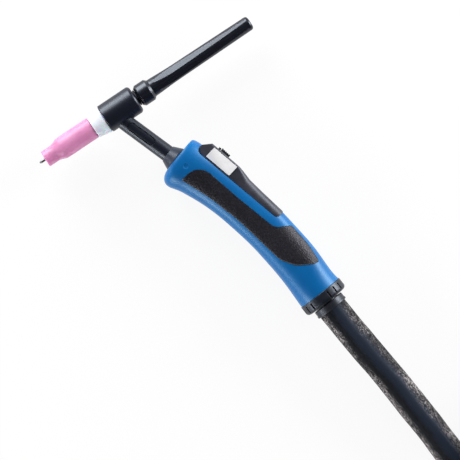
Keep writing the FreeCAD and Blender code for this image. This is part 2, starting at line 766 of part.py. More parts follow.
def grip_pad(pad_floor):
    skin = handle_blank(-PAD_PROUD).common(pad_window(REACH, PAD_SEAM))
    return skin.cut(pad_floor)


def module_window(grow=0):
    wire = rounded_loop(MODULE_OUTLINE, lambda p: V(p.x, p.y, -REACH))
    if grow:
        wire = wire.makeOffset2D(grow)
    return Part.Face(wire).extrude(V(0, 0, 2 * REACH))


def handle_shells(pad_floor):
    """The two halves of the handle, left towards +Z."""
    blank = handle_blank()
    cavity = handle_cavity()
    shoulder = SEAT_FROM - BALL_BACK - REST_GAP
    hole = rod(SOCKET_R, shoulder, SPIGOT_LENGTH + CUT)
    hole = hole.fuse(rod(SHOULDER_R, -SHOULDER_DEPTH, shoulder + CUT))
    hole = put(hole, REAR_POINT, HOSE_WAY)
    shell = blank.cut(cavity)
    slab = block((-REACH, REACH), (-REACH, REACH), (BULKHEAD_FROM, BULKHEAD_TO))
    bulkhead = cavity.common(put(slab, NECK_POINT, NECK_WAY))
    bosses = []
    for x, y in SCREW_PLACES:
        bosses.append(blank.common(rod(BOSS_R, -REACH, REACH, V(x, y, 0))))
    shell = shell.fuse([bulkhead] + bosses)
    spigot = put(rod(SPIGOT_R, -CUT, SPIGOT_LENGTH), REAR_POINT, HOSE_WAY)
    shell = shell.fuse(spigot).cut(hole)
    clamp_hole = rod(CLAMP_R + REST_GAP / 2, BULKHEAD_FROM - CUT, BULKHEAD_TO + CUT)
    boot_hole = rod(BOOT_R + REST_GAP / 2, BOOT_FROM - CUT, BOOT_TO + REST_GAP)
    neck_hole = rod(NECK_R + NECK_ROOM, BOOT_TO, CLAMP_FROM + CUT)
    for way_in in (clamp_hole, boot_hole, neck_hole):
        shell = shell.cut(put(way_in, NECK_POINT, NECK_WAY))
    shell = shell.cut(module_window(REST_GAP))
    window = pad_window(REACH).cut(pad_floor)
    rim = handle_half_width(DIMPLE_X, DIMPLE_Y)
    dish_r = (DIMPLE_R ** 2 + DIMPLE_DEPTH ** 2) / (2 * DIMPLE_DEPTH)
    dish = Part.makeSphere(dish_r, V(DIMPLE_X, DIMPLE_Y, rim - DIMPLE_DEPTH + dish_r))
    left = shell.common(block((-REACH, 2 * REACH), (-REACH, REACH), (0, REACH))).cut(window).cut(dish)
    right = shell.common(block((-REACH, 2 * REACH), (-REACH, REACH), (-REACH, 0)))
    right = right.cut(mirrored(window)).cut(mirrored(dish))
    for x, y in SCREW_PLACES:
        at = V(x, y, 0)
        left = left.cut(rod(SCREW_R, -CUT, SCREW_GRIP + SCREW_END_ROOM, at))
        right = right.cut(rod(SCREW_R + REST_GAP, -SCREW_SEAT - CUT, CUT, at))
        right = right.cut(rod(SCREW_HEAD_R + REST_GAP, -REACH, -SCREW_SEAT, at))
    return left, right


def handle_half_width(x, y):
    """How far the handle's surface stands from the middle plane at this place in side view."""
    line = Part.makeLine(V(x, y, 0), V(x, y, REACH))
    inside = handle_blank().common(line)
    return inside.BoundBox.ZMax


def handle_screws():
    screws = []
    for x, y in SCREW_PLACES:
        at = V(x, y, 0)
        top = -SCREW_SEAT - SCREW_HEAD_LENGTH
        screw = rod(SCREW_HEAD_R, top, -SCREW_SEAT, at).fuse(rod(SCREW_R, -SCREW_SEAT, SCREW_GRIP, at))
        for half_x, half_y in ((SCREW_CROSS_HALF_WIDTH, SCREW_CROSS_HALF),
                               (SCREW_CROSS_HALF, SCREW_CROSS_HALF_WIDTH)):
            screw = screw.cut(block((x - half_x, x + half_x), (y - half_y, y + half_y),
                                    (top - CUT, top + SCREW_CROSS_DEPTH)))
        screws.append(screw)
    return Part.makeCompound(screws)


# Switch module

def module_section(x, roof, rounding, inset=0):
    wide, top = MODULE_HALF - inset, roof - inset
    round_in = max(rounding - inset, MODULE_INNER_EDGE)
    corners = [(-wide, MODULE_FLOOR), (wide, MODULE_FLOOR), (wide, top, round_in), (-wide, top, round_in)]
    return rounded_loop(corners, lambda p: V(x, p.y, p.x))


def module_blank(inset=0):
    return Part.makeLoft([module_section(*section, inset) for section in MODULE_SECTIONS], True, True)


def base_height(x):
    """Height of the module's lower edge in side view."""
    (x0, y0, _), (x1, y1, _) = MODULE_OUTLINE[:2]
    return y0 + (y1 - y0) * (x - x0) / (x1 - x0)


def base_prism(start, end, half, low, high):
    """A slab along the module's lower edge, between two distances above it."""
    corners = [(start, base_height(start) + low), (end, base_height(end) + low),
               (end, base_height(end) + high), (start, base_height(start) + high)]
    return prism(corners, -half, half)


def switch_housing():
    solid = module_blank().common(module_window())
    room = module_blank(MODULE_WALL).common(module_window(-MODULE_WALL))
    way_down = base_prism(BASE_FROM, LEAD_WAY_TO, MODULE_HALF - MODULE_WALL, -CUT, MODULE_WALL + CUT)
    opening = button_solid(TRIGGER_FROM, TRIGGER_TO, TRIGGER_HALF, MOVING_GAP)
    nub_opening = button_solid(NUB_FROM, TRIGGER_FROM + CUT, NUB_HALF, MOVING_GAP)
    return solid.cut(room).cut(way_down).cut(opening).cut(nub_opening)


def button_solid(x0, x1, half, grow=0, top=REACH):
    """An upright block with rounded corners, from the buttons' base up."""
    low = BUTTON_BASE - 2 * grow
    corners = []
    for x, y in ((x0 - grow, -half - grow), (x1 + grow, -half - grow),
                 (x1 + grow, half + grow), (x0 - grow, half + grow)):
        corners.append((x, y, BUTTON_CORNER_R))
    wire = rounded_loop(corners, lambda p: V(p.x, low, p.y))
    return Part.Face(wire).extrude(V(0, top - low, 0))


def trigger_button():
    body = button_solid(TRIGGER_FROM, TRIGGER_TO, TRIGGER_HALF, 0, TRIGGER_TOP)
    lip_half = TRIGGER_HALF + BUTTON_LIP
    lip = block((TRIGGER_FROM + BUTTON_LIP_SHORT, TRIGGER_TO - BUTTON_LIP_SHORT),
                (BUTTON_BASE, BUTTON_BASE + BUTTON_LIP_THICKNESS), (-lip_half, lip_half))
    pitch = (TRIGGER_TO - TRIGGER_FROM) / TRIGGER_RIBS
    grooves = []
    for i in range(1, TRIGGER_RIBS):
        x = TRIGGER_FROM + i * pitch
        heights = (TRIGGER_TOP - TRIGGER_RIB_DEPTH, TRIGGER_TOP + CUT)
        across = (-TRIGGER_HALF - CUT, TRIGGER_HALF + CUT)
        grooves.append(block((x - pitch / 4, x + pitch / 4), heights, across))
    return body.fuse(lip).cut(Part.makeCompound(grooves))


def nub_button():
    body = button_solid(NUB_FROM, NUB_TO, NUB_HALF, 0, NUB_TOP)
    lip_half = NUB_HALF + BUTTON_LIP
    lip = block((NUB_FROM, NUB_TO), (BUTTON_BASE, BUTTON_BASE + BUTTON_LIP_THICKNESS), (-lip_half, lip_half))
    return body.fuse(lip)


def switch_base():
    """The plate that closes the module from below, up to the control lead's way out."""
    half = MODULE_HALF - MODULE_WALL - REST_GAP
    return base_prism(BASE_FROM + REST_GAP, BASE_TO, half, 0, MODULE_WALL)


def circuit_board():
    return block((BOARD_FROM, BOARD_TO), (BOARD_LOW, BOARD_LOW + BOARD_THICKNESS), (-BOARD_HALF, BOARD_HALF))


BOARD_TOP = BOARD_LOW + BOARD_THICKNESS
TRIGGER_MIDDLE = (TRIGGER_FROM + TRIGGER_TO) / 2
NUB_MIDDLE = (NUB_FROM + NUB_TO) / 2


def plunger(middle, switch_top):
    """The pin under a button, which reaches a little into its switch."""
    return block((middle - PLUNGER_HALF, middle + PLUNGER_HALF), (switch_top - PLUNGER_GRIP, BUTTON_BASE),
                 (-PLUNGER_HALF, PLUNGER_HALF))


def plunger_hole(middle, switch_top, travel):
    half = PLUNGER_HALF + REST_GAP
    low = switch_top - PLUNGER_GRIP - travel - MOVING_GAP
    return block((middle - half, middle + half), (low, switch_top + CUT), (-half, half))


def micro_switch():
    body = block((SWITCH_FROM, SWITCH_TO), (BOARD_TOP, SWITCH_TOP), (-SWITCH_HALF, SWITCH_HALF))
    return body.cut(plunger_hole(TRIGGER_MIDDLE, SWITCH_TOP, TRIGGER_TRAVEL))


def tact_switch():
    along = (NUB_MIDDLE - TACT_HALF, NUB_MIDDLE + TACT_HALF)
    body = block(along, (BOARD_TOP, TACT_TOP), (-TACT_HALF, TACT_HALF))
    return body.cut(plunger_hole(NUB_MIDDLE, TACT_TOP, NUB_TRAVEL))


def lead_socket():
    return block((SOCKET_FROM, BOARD_TO), (BOARD_TOP, SOCKET_TOP), (-SOCKET_HALF, SOCKET_HALF))


def label_plate():
    """A bare plate, let into nothing and set on the module's flat side."""
    slope = math.tan(math.radians(LABEL_SLOPE))
    front, rear = LABEL_LOW, LABEL_LOW + (LABEL_TO - LABEL_FROM) * slope
    corners = []
    for x, y in ((LABEL_FROM, front), (LABEL_TO, rear), (LABEL_TO, rear + LABEL_HEIGHT),
                 (LABEL_FROM, front + LABEL_HEIGHT)):
        corners.append((x, y, LABEL_CORNER_R))
    return prism(corners, MODULE_HALF, MODULE_HALF + LABEL_THICKNESS)


# Ball joint, rear nut and ferrule: heights along the hose's axis are from the ball's centre

NUT_FRONT = BALL_BACK + REST_GAP
NUT_REAR = NUT_FRONT + REAR_NUT_LENGTH
FERRULE_FRONT = NUT_REAR + FERRULE_GAP
HOSE_START = FERRULE_FRONT + FERRULE_WALL


def ball_radius_at(height, clearance):
    return math.sqrt((BALL_R + clearance) ** 2 - height ** 2)


def ball_seat():
    outer = SOCKET_R - REST_GAP / 2
    seat = turned([(outer, SEAT_FROM), (outer, SEAT_TO), (SEAT_BORE_R, SEAT_TO), (SEAT_BORE_R, SEAT_FROM)])
    return put(seat.cut(Part.makeSphere(BALL_R + RUNNING_GAP)), BALL_POINT, HOSE_WAY)


def hose_ball():
    ball = Part.makeSphere(BALL_R).common(rod(BALL_R + CUT, -BALL_FRONT_CUT, BALL_R))
    stub = rod(STUB_R, 0, HOSE_START)
    ball = ball.fuse(stub).cut(rod(BALL_BORE_R, -BALL_R, BALL_R + CUT))
    return put(ball, BALL_POINT, HOSE_WAY)


def rear_nut():
    thread_r = SPIGOT_R + REST_GAP / 2
    lip_from = BALL_BACK + SPIGOT_LENGTH + REST_GAP
    lip_r = ball_radius_at(BALL_BACK + REAR_NUT_LIP, RUNNING_GAP)
    nut = turned([
        (thread_r, NUT_FRONT), (REAR_NUT_R, NUT_FRONT, REAR_NUT_EDGE),
        (REAR_NUT_R, NUT_REAR, REAR_NUT_ROUNDING),
        (REAR_NUT_MOUTH_R, NUT_REAR), (REAR_NUT_MOUTH_R - REAR_NUT_MOUTH_TAPER, BALL_BACK + REAR_NUT_LIP),
        (lip_r, BALL_BACK + REAR_NUT_LIP), (lip_r, lip_from), (thread_r, lip_from),
    ])
    nut = nut.cut(Part.makeSphere(BALL_R + RUNNING_GAP))
    slots = []
    for group in range(SLOT_GROUPS):
        for place in (-1, 0, 1):
            slot = block((REAR_NUT_R - SLOT_DEPTH, REAR_NUT_R + CUT), (-SLOT_WIDTH / 2, SLOT_WIDTH / 2),
                         (NUT_FRONT + SLOT_FROM, NUT_FRONT + SLOT_FROM + SLOT_LENGTH))
            turn = 90 - SLOT_FIRST + 360 / SLOT_GROUPS * group + place * SLOT_STEP
            slot.rotate(ORIGIN, UP, turn)
            slots.append(slot)
    return put(nut.cut(Part.makeCompound(slots)), BALL_POINT, HOSE_WAY)


def hose_ferrule():
    """The clamp ring over the hose's end."""
    inner = HOSE_R + REST_GAP / 2
    front, rear = FERRULE_FRONT, FERRULE_FRONT + FERRULE_LENGTH
    step = rear - FERRULE_LIP_LENGTH
    return put(turned([
        (STUB_R, front), (FERRULE_R, front, FINE_EDGE), (FERRULE_R, step),
        (FERRULE_LIP_R, step), (FERRULE_LIP_R, rear, FINE_EDGE), (inner, rear),
        (inner, HOSE_START), (STUB_R, HOSE_START),
    ]), BALL_POINT, HOSE_WAY)


# Hose: a run over the bench, and a two-layer coil that ends on top of itself in the machine plug

def bench_point(x, y, height):
    return V(x, y, BENCH + height)


def hose_run_points():
    start = BALL_POINT + HOSE_WAY * HOSE_START
    points = [start, start + HOSE_WAY * HOSE_FIRST_RUN]
    points += [bench_point(*point) for point in HOSE_ROUTE]
    return points + [bench_point(COIL_X, COIL_Y, HOSE_R)]


def smooth(share):
    share = min(max(share, 0.0), 1.0)
    return share * share * (3 - 2 * share)


# Turns counted from the coil's start to where it climbs, turns outward, climbs again and ends
TURN_IN = COIL_IN_TURNS
TURN_OVER_FROM = COIL_IN_TURNS - COIL_OVER_TURNS / 2
TURN_OUT = COIL_IN_TURNS + COIL_OUT_TURNS
TURN_END = TURN_OUT + COIL_UP_TURNS
FIRST_LAYER = HOSE_R
SECOND_LAYER = FIRST_LAYER + COIL_LAYER


def coil_ring(turn):
    """Radius and height over the bench of the hose's middle, after this many turns."""
    radius = COIL_INNER_R + COIL_STEP * abs(turn - TURN_IN)
    height = FIRST_LAYER + COIL_LAYER * smooth((turn - TURN_OVER_FROM) / COIL_OVER_TURNS)
    if turn > TURN_OUT:
        share = smooth((turn - TURN_OUT) / COIL_UP_TURNS)
        lean = math.radians(COIL_END_LEAN * share)
        last_spread = (COIL_END_HEIGHT - SECOND_LAYER) / math.sin(math.radians(COIL_END_LEAN))
        spread = COIL_STEP + (last_spread - COIL_STEP) * share
        radius += spread * math.cos(lean) - COIL_STEP
        height += spread * math.sin(lean)
    return radius, height


def coil_heading():
    points = hose_run_points()
    last = points[-1] - points[-2]
    return math.atan2(last.y, last.x)


def coil_centre():
    heading = coil_heading()
    left = V(-math.sin(heading), math.cos(heading), 0)
    return V(COIL_X, COIL_Y, BENCH) + left * coil_ring(0)[0]


def coil_point(turn):
    radius, height = coil_ring(turn)
    angle = coil_heading() - math.pi / 2 + 2 * math.pi * turn
    return coil_centre() + V(math.cos(angle) * radius, math.sin(angle) * radius, height)


def coil_way(turn):
    step = 1e-4
    return (coil_point(turn + step) - coil_point(turn - step)).normalize()


def coil_end_turn():
    """The turn after which the hose heads along -X, square to the frame."""
    whole = math.floor(TURN_END)
    return whole + (math.pi - coil_heading()) / (2 * math.pi)


def tangent_arc(start, way, end):
    """The arc that leaves start along this way and reaches end."""
    chord = end - start
    bend = way.getAngle(chord)
    if bend < 1e-6:
        return Part.LineSegment(start, end).toShape()
    apex = start + way * (chord.Length / 2 / math.cos(bend))
    middle = (start + end) * 0.5
    bulge = (apex - middle).normalize() * (chord.Length / 2 * math.tan(bend / 2))
    return Part.Arc(start, middle + bulge, end).toShape()


def biarc(start, way_0, end, way_1):
    """Two arcs that leave start along one way and reach end along the other."""
    gap = end - start
    both = way_0 + way_1
    reach = 2 * (1 - way_0.dot(way_1))
    along = gap.dot(both)
    if reach < 1e-9:
        share = gap.dot(gap) / (4 * gap.dot(way_0))
    else:
        share = (-along + math.sqrt(along * along + reach * gap.dot(gap))) / reach
    joint = (start + end + (way_0 - way_1) * share) * 0.5
    return [tangent_arc(start, way_0, joint), tangent_arc(end, way_1 * -1, joint)]


def coil_nodes():
    """Points and ways along the coil, from its straight start to its straight end."""
    end_turn = coil_end_turn()
    count = round(end_turn * COIL_NODES_PER_TURN)
    nodes = [(coil_point(0), V(math.cos(coil_heading()), math.sin(coil_heading()), 0))]
    for i in range(1, count):
        turn = end_turn * i / count
        nodes.append((coil_point(turn), coil_way(turn)))
    nodes.append((coil_point(end_turn), V(-1, 0, 0)))
    return nodes


def coil_edges():
    nodes = coil_nodes()
    edges = []
    for (start, way_0), (end, way_1) in zip(nodes, nodes[1:]):
        first, second = biarc(start, way_0, end, way_1)
        edges += [first, second]
    tail = nodes[-1][0]
    edges.append(Part.LineSegment(tail, tail + V(-1, 0, 0) * COIL_STRAIGHT).toShape())
    return edges


def least_gap(edges, radius):
    """The least gap between turns of a wound tube, measured on points of its middle line."""
    step = radius / 2
    own_reach = 8 * radius
    points = []
    place = 0.0
    for edge in edges:
        count = max(2, int(edge.Length / step))
        for i in range(count):
            points.append((place + edge.Length * i / count,
                           edge.valueAt(edge.getParameterByLength(edge.Length * i / count))))
        place += edge.Length
    least = math.inf
    for i, (a, p) in enumerate(points):
        for b, q in points[i + 1:]:
            if b - a > own_reach:
                least = min(least, (p - q).Length)
    return least - 2 * radius


# Machine plug: heights along its axis are from the back of its shells, towards the contact

def plug_point():
    return coil_nodes()[-1][0] + V(-1, 0, 0) * (COIL_STRAIGHT - HOSE_IN_PLUG)


PLUG_WAY = V(-1, 0, 0)
PLUG_FRONT = PLUG_LENGTH + PLUG_NECK_LENGTH
INSERT_FRONT = PLUG_FRONT + INSERT_PROUD
CONTACT_TIP = INSERT_FRONT + CONTACT_REACH
SEAL_PLACE = CONTACT_TIP - SEAL_FROM_TIP


def on_plug(shape):
    return put(shape, plug_point(), PLUG_WAY)


def plug_relief():
    inner = HOSE_R + REST_GAP / 2
    relief = turned([
        (inner, -RELIEF_LENGTH), (RELIEF_BACK_R, -RELIEF_LENGTH, RELIEF_BACK_EDGE),
        (RELIEF_FRONT_R, -REST_GAP, RELIEF_FRONT_EDGE), (inner, -REST_GAP),
    ])
    pitch = RELIEF_LENGTH / (RELIEF_GROOVES + 1)
    for i in range(RELIEF_GROOVES):
        middle = -pitch * (i + 1)
        outer = RELIEF_BACK_R + (RELIEF_FRONT_R - RELIEF_BACK_R) * (1 + middle / RELIEF_LENGTH)
        groove = rod(outer + CUT, middle - pitch / 4, middle + pitch / 4)
        relief = relief.cut(groove.cut(rod(outer - RELIEF_GROOVE_DEPTH, middle - pitch, middle + pitch)))
    return on_plug(relief)


def across_plug(radius, length, at, way=1):
    """A cylinder across the plug, towards its upper or lower side."""
    return Part.makeCylinder(radius, length, at, V(0, way, 0))


def plug_screw_points():
    return [V(side * PLUG_SCREW_SIDE, 0, height) for height in PLUG_SCREW_PLACES for side in (1, -1)]


def plug_shells():
    hose_hole = HOSE_R + REST_GAP / 2
    inner = PLUG_R - PLUG_WALL
    neck_inner = PLUG_NECK_R - PLUG_NECK_WALL
    flange = PLUG_FRONT - PLUG_FLANGE_LENGTH
    room_front = PLUG_LENGTH - PLUG_FRONT_WALL
    body = turned([
        (hose_hole, 0), (PLUG_R, 0, PLUG_BACK_EDGE), (PLUG_R, PLUG_LENGTH, PLUG_FRONT_EDGE),
        (PLUG_NECK_R, PLUG_LENGTH), (PLUG_NECK_R, flange), (PLUG_FLANGE_R, flange),
        (PLUG_FLANGE_R, PLUG_FRONT), (neck_inner, PLUG_FRONT), (neck_inner, room_front),
        (inner, room_front), (inner, PLUG_BACK_WALL), (hose_hole, PLUG_BACK_WALL),
    ])
    core = rod(PLUG_R - PLUG_BOSS_SHORT, PLUG_BACK_WALL / 2, PLUG_LENGTH)
    for at in plug_screw_points():
        boss = across_plug(PLUG_SCREW_HEAD_R + PLUG_BOSS_WALL, 2 * PLUG_R, at - V(0, PLUG_R, 0))
        body = body.fuse(boss.common(core))
    upper = body.common(block((-REACH, REACH), (0, REACH), (-REACH, REACH)))
    lower = body.common(block((-REACH, REACH), (-REACH, 0), (-REACH, REACH)))
    for at in plug_screw_points():
        seat = at + V(0, PLUG_SCREW_SEAT, 0)
        upper = upper.cut(across_plug(PLUG_SCREW_HEAD_R + REST_GAP, REACH, seat))
        upper = upper.cut(across_plug(PLUG_SCREW_R + REST_GAP, REACH, at - V(0, CUT, 0)))
        lower = lower.cut(across_plug(PLUG_SCREW_R, PLUG_SCREW_GRIP + CUT, at + V(0, CUT, 0), -1))
    return on_plug(upper), on_plug(lower)


def plug_screws():
    screws = []
    for at in plug_screw_points():
        seat = at + V(0, PLUG_SCREW_SEAT, 0)
        head = across_plug(PLUG_SCREW_HEAD_R, PLUG_SCREW_HEAD_LENGTH, seat)
        shank = across_plug(PLUG_SCREW_R, PLUG_SCREW_SEAT + PLUG_SCREW_GRIP, seat, -1)
        middle = seat.y + PLUG_SCREW_HEAD_LENGTH / 2
        slot = block((at.x - PLUG_SCREW_SLOT / 2, at.x + PLUG_SCREW_SLOT / 2), (middle, middle + CUT),
                     (at.z - PLUG_SCREW_HEAD_R - CUT, at.z + PLUG_SCREW_HEAD_R + CUT))
        screws.append(on_plug(head.fuse(shank).cut(slot)))
    return Part.makeCompound(screws)


def plug_insert():
    outer = PLUG_NECK_R - PLUG_NECK_WALL - REST_GAP / 2
    start = INSERT_FRONT - INSERT_LENGTH
    insert = turned([
        (CONTACT_ROOT_R, start), (outer, start),
        (outer, INSERT_FRONT, FINE_EDGE), (CONTACT_ROOT_R, INSERT_FRONT),
    ])
    for side in (1, -1):
        insert = insert.cut(rod(PIN_R, start - CUT, INSERT_FRONT + CUT, V(0, side * PIN_PLACE_R, 0)))
    return on_plug(insert)


def contact_pin():
    """The brass pin that carries the current, with the gas way through it."""
    back = HOSE_IN_PLUG
    step = back + CONTACT_BACK_LENGTH
    root = INSERT_FRONT + CONTACT_ROOT_PROUD
    groove_r = CONTACT_R - SEAL_DEPTH
    return on_plug(turned([
        (CONTACT_BORE_R, back), (CONTACT_BACK_R, back), (CONTACT_BACK_R, step, FINE_EDGE),
        (CONTACT_ROOT_R, step), (CONTACT_ROOT_R, root, FINE_EDGE), (CONTACT_R, root),
        (CONTACT_R, SEAL_PLACE - SEAL_R), (groove_r, SEAL_PLACE - SEAL_R),
        (groove_r, SEAL_PLACE + SEAL_R), (CONTACT_R, SEAL_PLACE + SEAL_R),
        (CONTACT_R, CONTACT_TIP, CONTACT_TIP_EDGE), (CONTACT_BORE_R, CONTACT_TIP),
    ]))


def contact_seal():
    """The ring in the pin's groove, pressed as flat as the socket leaves it."""
    middle_r = CONTACT_R - SEAL_DEPTH + SEAL_R
    return on_plug(Part.makeTorus(middle_r, SEAL_R - REST_GAP / 2, V(0, 0, SEAL_PLACE), UP))


def control_pins():
    start = INSERT_FRONT - INSERT_LENGTH - PIN_ROOT
    pins = []
    for side in (1, -1):
        pins.append(on_plug(rod(PIN_R, start, INSERT_FRONT + PIN_REACH, V(0, side * PIN_PLACE_R, 0))))
    return Part.makeCompound(pins)


def union_nut():
    start = PLUG_LENGTH + MOVING_GAP
    end = start + UNION_LENGTH
    lip_r = PLUG_NECK_R + RUNNING_GAP
    nut = turned([
        (lip_r, start), (UNION_R, start, UNION_EDGE), (UNION_R, end, UNION_EDGE), (UNION_BORE_R, end),
        (UNION_BORE_R, start + UNION_LIP_LENGTH), (lip_r, start + UNION_LIP_LENGTH),
    ])
    out = UNION_R + UNION_FLUTE_OUT
    flutes = []
    for i in range(UNION_FLUTES):
        turn = 2 * math.pi * (i + 0.5) / UNION_FLUTES
        place = V(out * math.cos(turn), out * math.sin(turn), 0)
        flutes.append(rod(UNION_FLUTE_R, start + UNION_FLUTE_END, end - UNION_FLUTE_END, place))
    return on_plug(nut.cut(Part.makeCompound(flutes)))


CORD_NODES = [
    "hose_run", "hose_coil", "plug_relief", "plug_shell_upper", "plug_shell_lower", "plug_screws",
    "plug_insert", "contact_pin", "contact_seal", "control_pins", "union_nut",
]


def build():
    pad_floor = handle_blank(PAD_DEPTH)
    left, right = handle_shells(pad_floor)
    pad = grip_pad(pad_floor)
    plug_upper, plug_lower = plug_shells()
    run = route_edges(hose_run_points())
    coil = coil_edges()
    return {
        "tungsten_electrode": electrode(),
        "collet": collet(),
        "collet_body": collet_body(),
        "gas_nozzle": nozzle(),
        "nozzle_insulator": insulator(),
        "head_core": core_solid(),
        "head_cover": head_cover(),
        "cap_ring": cap_ring(),
        "back_cap": back_cap(),
        "neck_tube": neck_tube(),
        "neck_boot": neck_boot(),
        "neck_clamp": neck_clamp(),
        "neck_fitting": neck_fitting(),
        "cable_nut": cable_nut(),
        "power_cable": power_cable(),
        "gas_hose": gas_hose(),
        "control_lead": control_lead(),
        "handle_shell_left": left,
        "handle_shell_right": right,
        "grip_pad_left": pad,
        "grip_pad_right": mirrored(pad),
        "handle_screws": handle_screws(),
        "switch_housing": switch_housing(),
        "switch_base": switch_base(),
        "label_plate": label_plate(),
        "trigger_button": trigger_button(),
        "trigger_plunger": plunger(TRIGGER_MIDDLE, SWITCH_TOP),
        "nub_button": nub_button(),
        "nub_plunger": plunger(NUB_MIDDLE, TACT_TOP),
        "circuit_board": circuit_board(),
        "micro_switch": micro_switch(),
        "tact_switch": tact_switch(),
        "lead_socket": lead_socket(),
        "ball_seat": ball_seat(),
        "rear_nut": rear_nut(),
        "hose_ball": hose_ball(),
        "hose_ferrule": hose_ferrule(),
        "hose_run": tube_along(run, HOSE_R),
        "hose_coil": tube_along(coil, HOSE_R),
        "plug_relief": plug_relief(),
        "plug_shell_upper": plug_upper,
        "plug_shell_lower": plug_lower,
        "plug_screws": plug_screws(),
        "plug_insert": plug_insert(),
        "contact_pin": contact_pin(),
        "contact_seal": contact_seal(),
        "control_pins": control_pins(),
        "union_nut": union_nut(),
    }


def torch_shift(parts):
    """The move that puts the origin on the bench under the middle of the torch, without its cord."""
    box = FreeCAD.BoundBox()
    for name, shape in parts.items():
        if name not in CORD_NODES:
            box.add(shape.optimalBoundingBox(False, False))
    return V(-box.Center.x, -box.Center.y, -box.ZMin)


def report(parts, shift):
    run, coil = route_edges(hose_run_points()), coil_edges()
    length = sum(edge.Length for edge in run + coil)
    points = hose_run_points()
    radii = [turn_radius(*three) for three in zip(points, points[1:], points[2:])]
    print("hose run radii", [round(radius) for radius in radii])
    arcs = [edge.Curve.Radius for edge in coil if hasattr(edge.Curve, "Radius")]
    print("coil radii from", round(min(arcs), 1), "to", round(max(arcs), 1))
    print("least gap between the coil's turns", round(least_gap(coil, HOSE_R), 2))
    for name, edges in (("hose_run", run), ("hose_coil", coil)):
        share = parts[name].Volume / (math.pi * HOSE_R ** 2 * sum(edge.Length for edge in edges))
        print(name, "volume over section times length", round(share, 4))
    print("hose length", round(length / 1000, 3), "m")
    for name, point in (("head point", HEAD_POINT), ("ball", BALL_POINT), ("plug", plug_point())):
        print(name, [round(value, 3) for value in (point + shift)])
    print("shift", [round(value, 4) for value in shift])


def main():
    parts = build()
    shift = torch_shift(parts)
    os.makedirs("parts", exist_ok=True)
    for name, shape in parts.items():
        shape = shape.copy()
        shape.translate(shift)
        if not shape.isValid() or shape.Volume <= 0:
            print("not a good solid:", name, shape.isValid(), shape.Volume)
        shape.exportStep(f"parts/{name}.step")
    report(parts, shift)


main()
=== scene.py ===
import json
import math

import bpy
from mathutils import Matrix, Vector, noise

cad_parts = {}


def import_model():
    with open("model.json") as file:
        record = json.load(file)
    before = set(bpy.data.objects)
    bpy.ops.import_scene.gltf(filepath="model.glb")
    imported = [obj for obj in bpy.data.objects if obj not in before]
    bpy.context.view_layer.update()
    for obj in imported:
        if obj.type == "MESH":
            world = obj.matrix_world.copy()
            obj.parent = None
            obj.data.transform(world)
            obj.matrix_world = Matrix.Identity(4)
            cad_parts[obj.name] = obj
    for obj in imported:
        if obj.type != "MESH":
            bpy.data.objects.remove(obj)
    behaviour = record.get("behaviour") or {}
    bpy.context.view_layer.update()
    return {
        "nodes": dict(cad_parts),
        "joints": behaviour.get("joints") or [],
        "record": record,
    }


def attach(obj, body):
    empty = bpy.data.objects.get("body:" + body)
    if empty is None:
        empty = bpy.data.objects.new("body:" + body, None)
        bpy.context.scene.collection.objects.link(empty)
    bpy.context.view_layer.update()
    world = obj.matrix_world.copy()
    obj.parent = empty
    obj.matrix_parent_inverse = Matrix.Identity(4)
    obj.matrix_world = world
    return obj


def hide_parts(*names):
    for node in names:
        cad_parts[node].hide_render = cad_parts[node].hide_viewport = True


# The looks of a TIG torch that lies on its side, with its leather-sleeved hose and machine plug.
# Everything is in metres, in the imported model's frame: X along the handle towards the hose, Z up.

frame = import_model()


def joint_point(name):
    return Vector(next(joint["pos_m"] for joint in frame["joints"] if joint["name"] == name))


def flat_way(degrees):
    """The level way that is turned this far from X."""
    angle = math.radians(degrees)
    return Vector((math.cos(angle), math.sin(angle), 0))


BALL = joint_point("hose_swivel")
# The ways of the head's axis, of the hose where it leaves the handle, and of the handle and the plug
HEAD_WAY = flat_way(76.8)
HOSE_WAY = flat_way(-8.6)
HANDLE_WAY = Vector((1, 0, 0))

# Camera: straight above the torch, turned in its own plane. Its place is counted from the hose's ball
VIEW_X, VIEW_Y = -0.08793, -0.01325
VIEW_TURN = 43.0
VIEW_WIDTH = 0.3817
LENS = 200.0
SENSOR = 36.0
CLIP_END = 50.0

# Hose
HOSE_R = 0.013
HOSE_SIDES = 40
HOSE_STEP = 0.0035
HOSE_START = 0.0137
HOSE_FIRST_RUN = 0.028
# The route on the bench, as in the part's source: X and Y from the ball, and the height
HOSE_ROUTE = [
    (0.07388, -0.00965, 0.0184),
    (0.11488, -0.01495, 0.0149),
    (0.17288, -0.02375, 0.0130),
    (0.21688, -0.03495, 0.0130),
]
# The coil winds inwards on the bench, steps over, winds outwards on top, and rises to the plug's height
COIL_START = (0.25688, -0.05195, 0.0130)
COIL_INNER_R = 0.104
COIL_STEP = 0.027
COIL_LAYER = 0.0269
COIL_IN_TURNS = 2.25
COIL_OVER_TURNS = 0.5
COIL_OUT_TURNS = 1.77
COIL_UP_TURNS = 0.5
COIL_END_HEIGHT = 0.0755
COIL_END_LEAN = 78.0
COIL_WHOLE_TURNS = 4
COIL_POINTS_PER_TURN = 16
COIL_STRAIGHT = 0.026
# The spline that the hose's line follows: its order, and the steps drawn between two of its points
SPLINE_ORDER = 3
SPLINE_STEPS = 12

# The sleeve's skin: how far it lies within the hose's radius, then its slow and its short waves, with how
# many there are per metre and how high they are
SLEEVE_SINK = 0.00035
SLACK_SCALE = 38.0
SLACK_HEIGHT = 0.00055
FOLD_SCALES = (60, 60, 160)
FOLD_HEIGHT = 0.00035
# The waves fade out over these lengths, at the handle and at the plug
CALM_AT_HANDLE = 0.03
CALM_AT_PLUG = 0.04

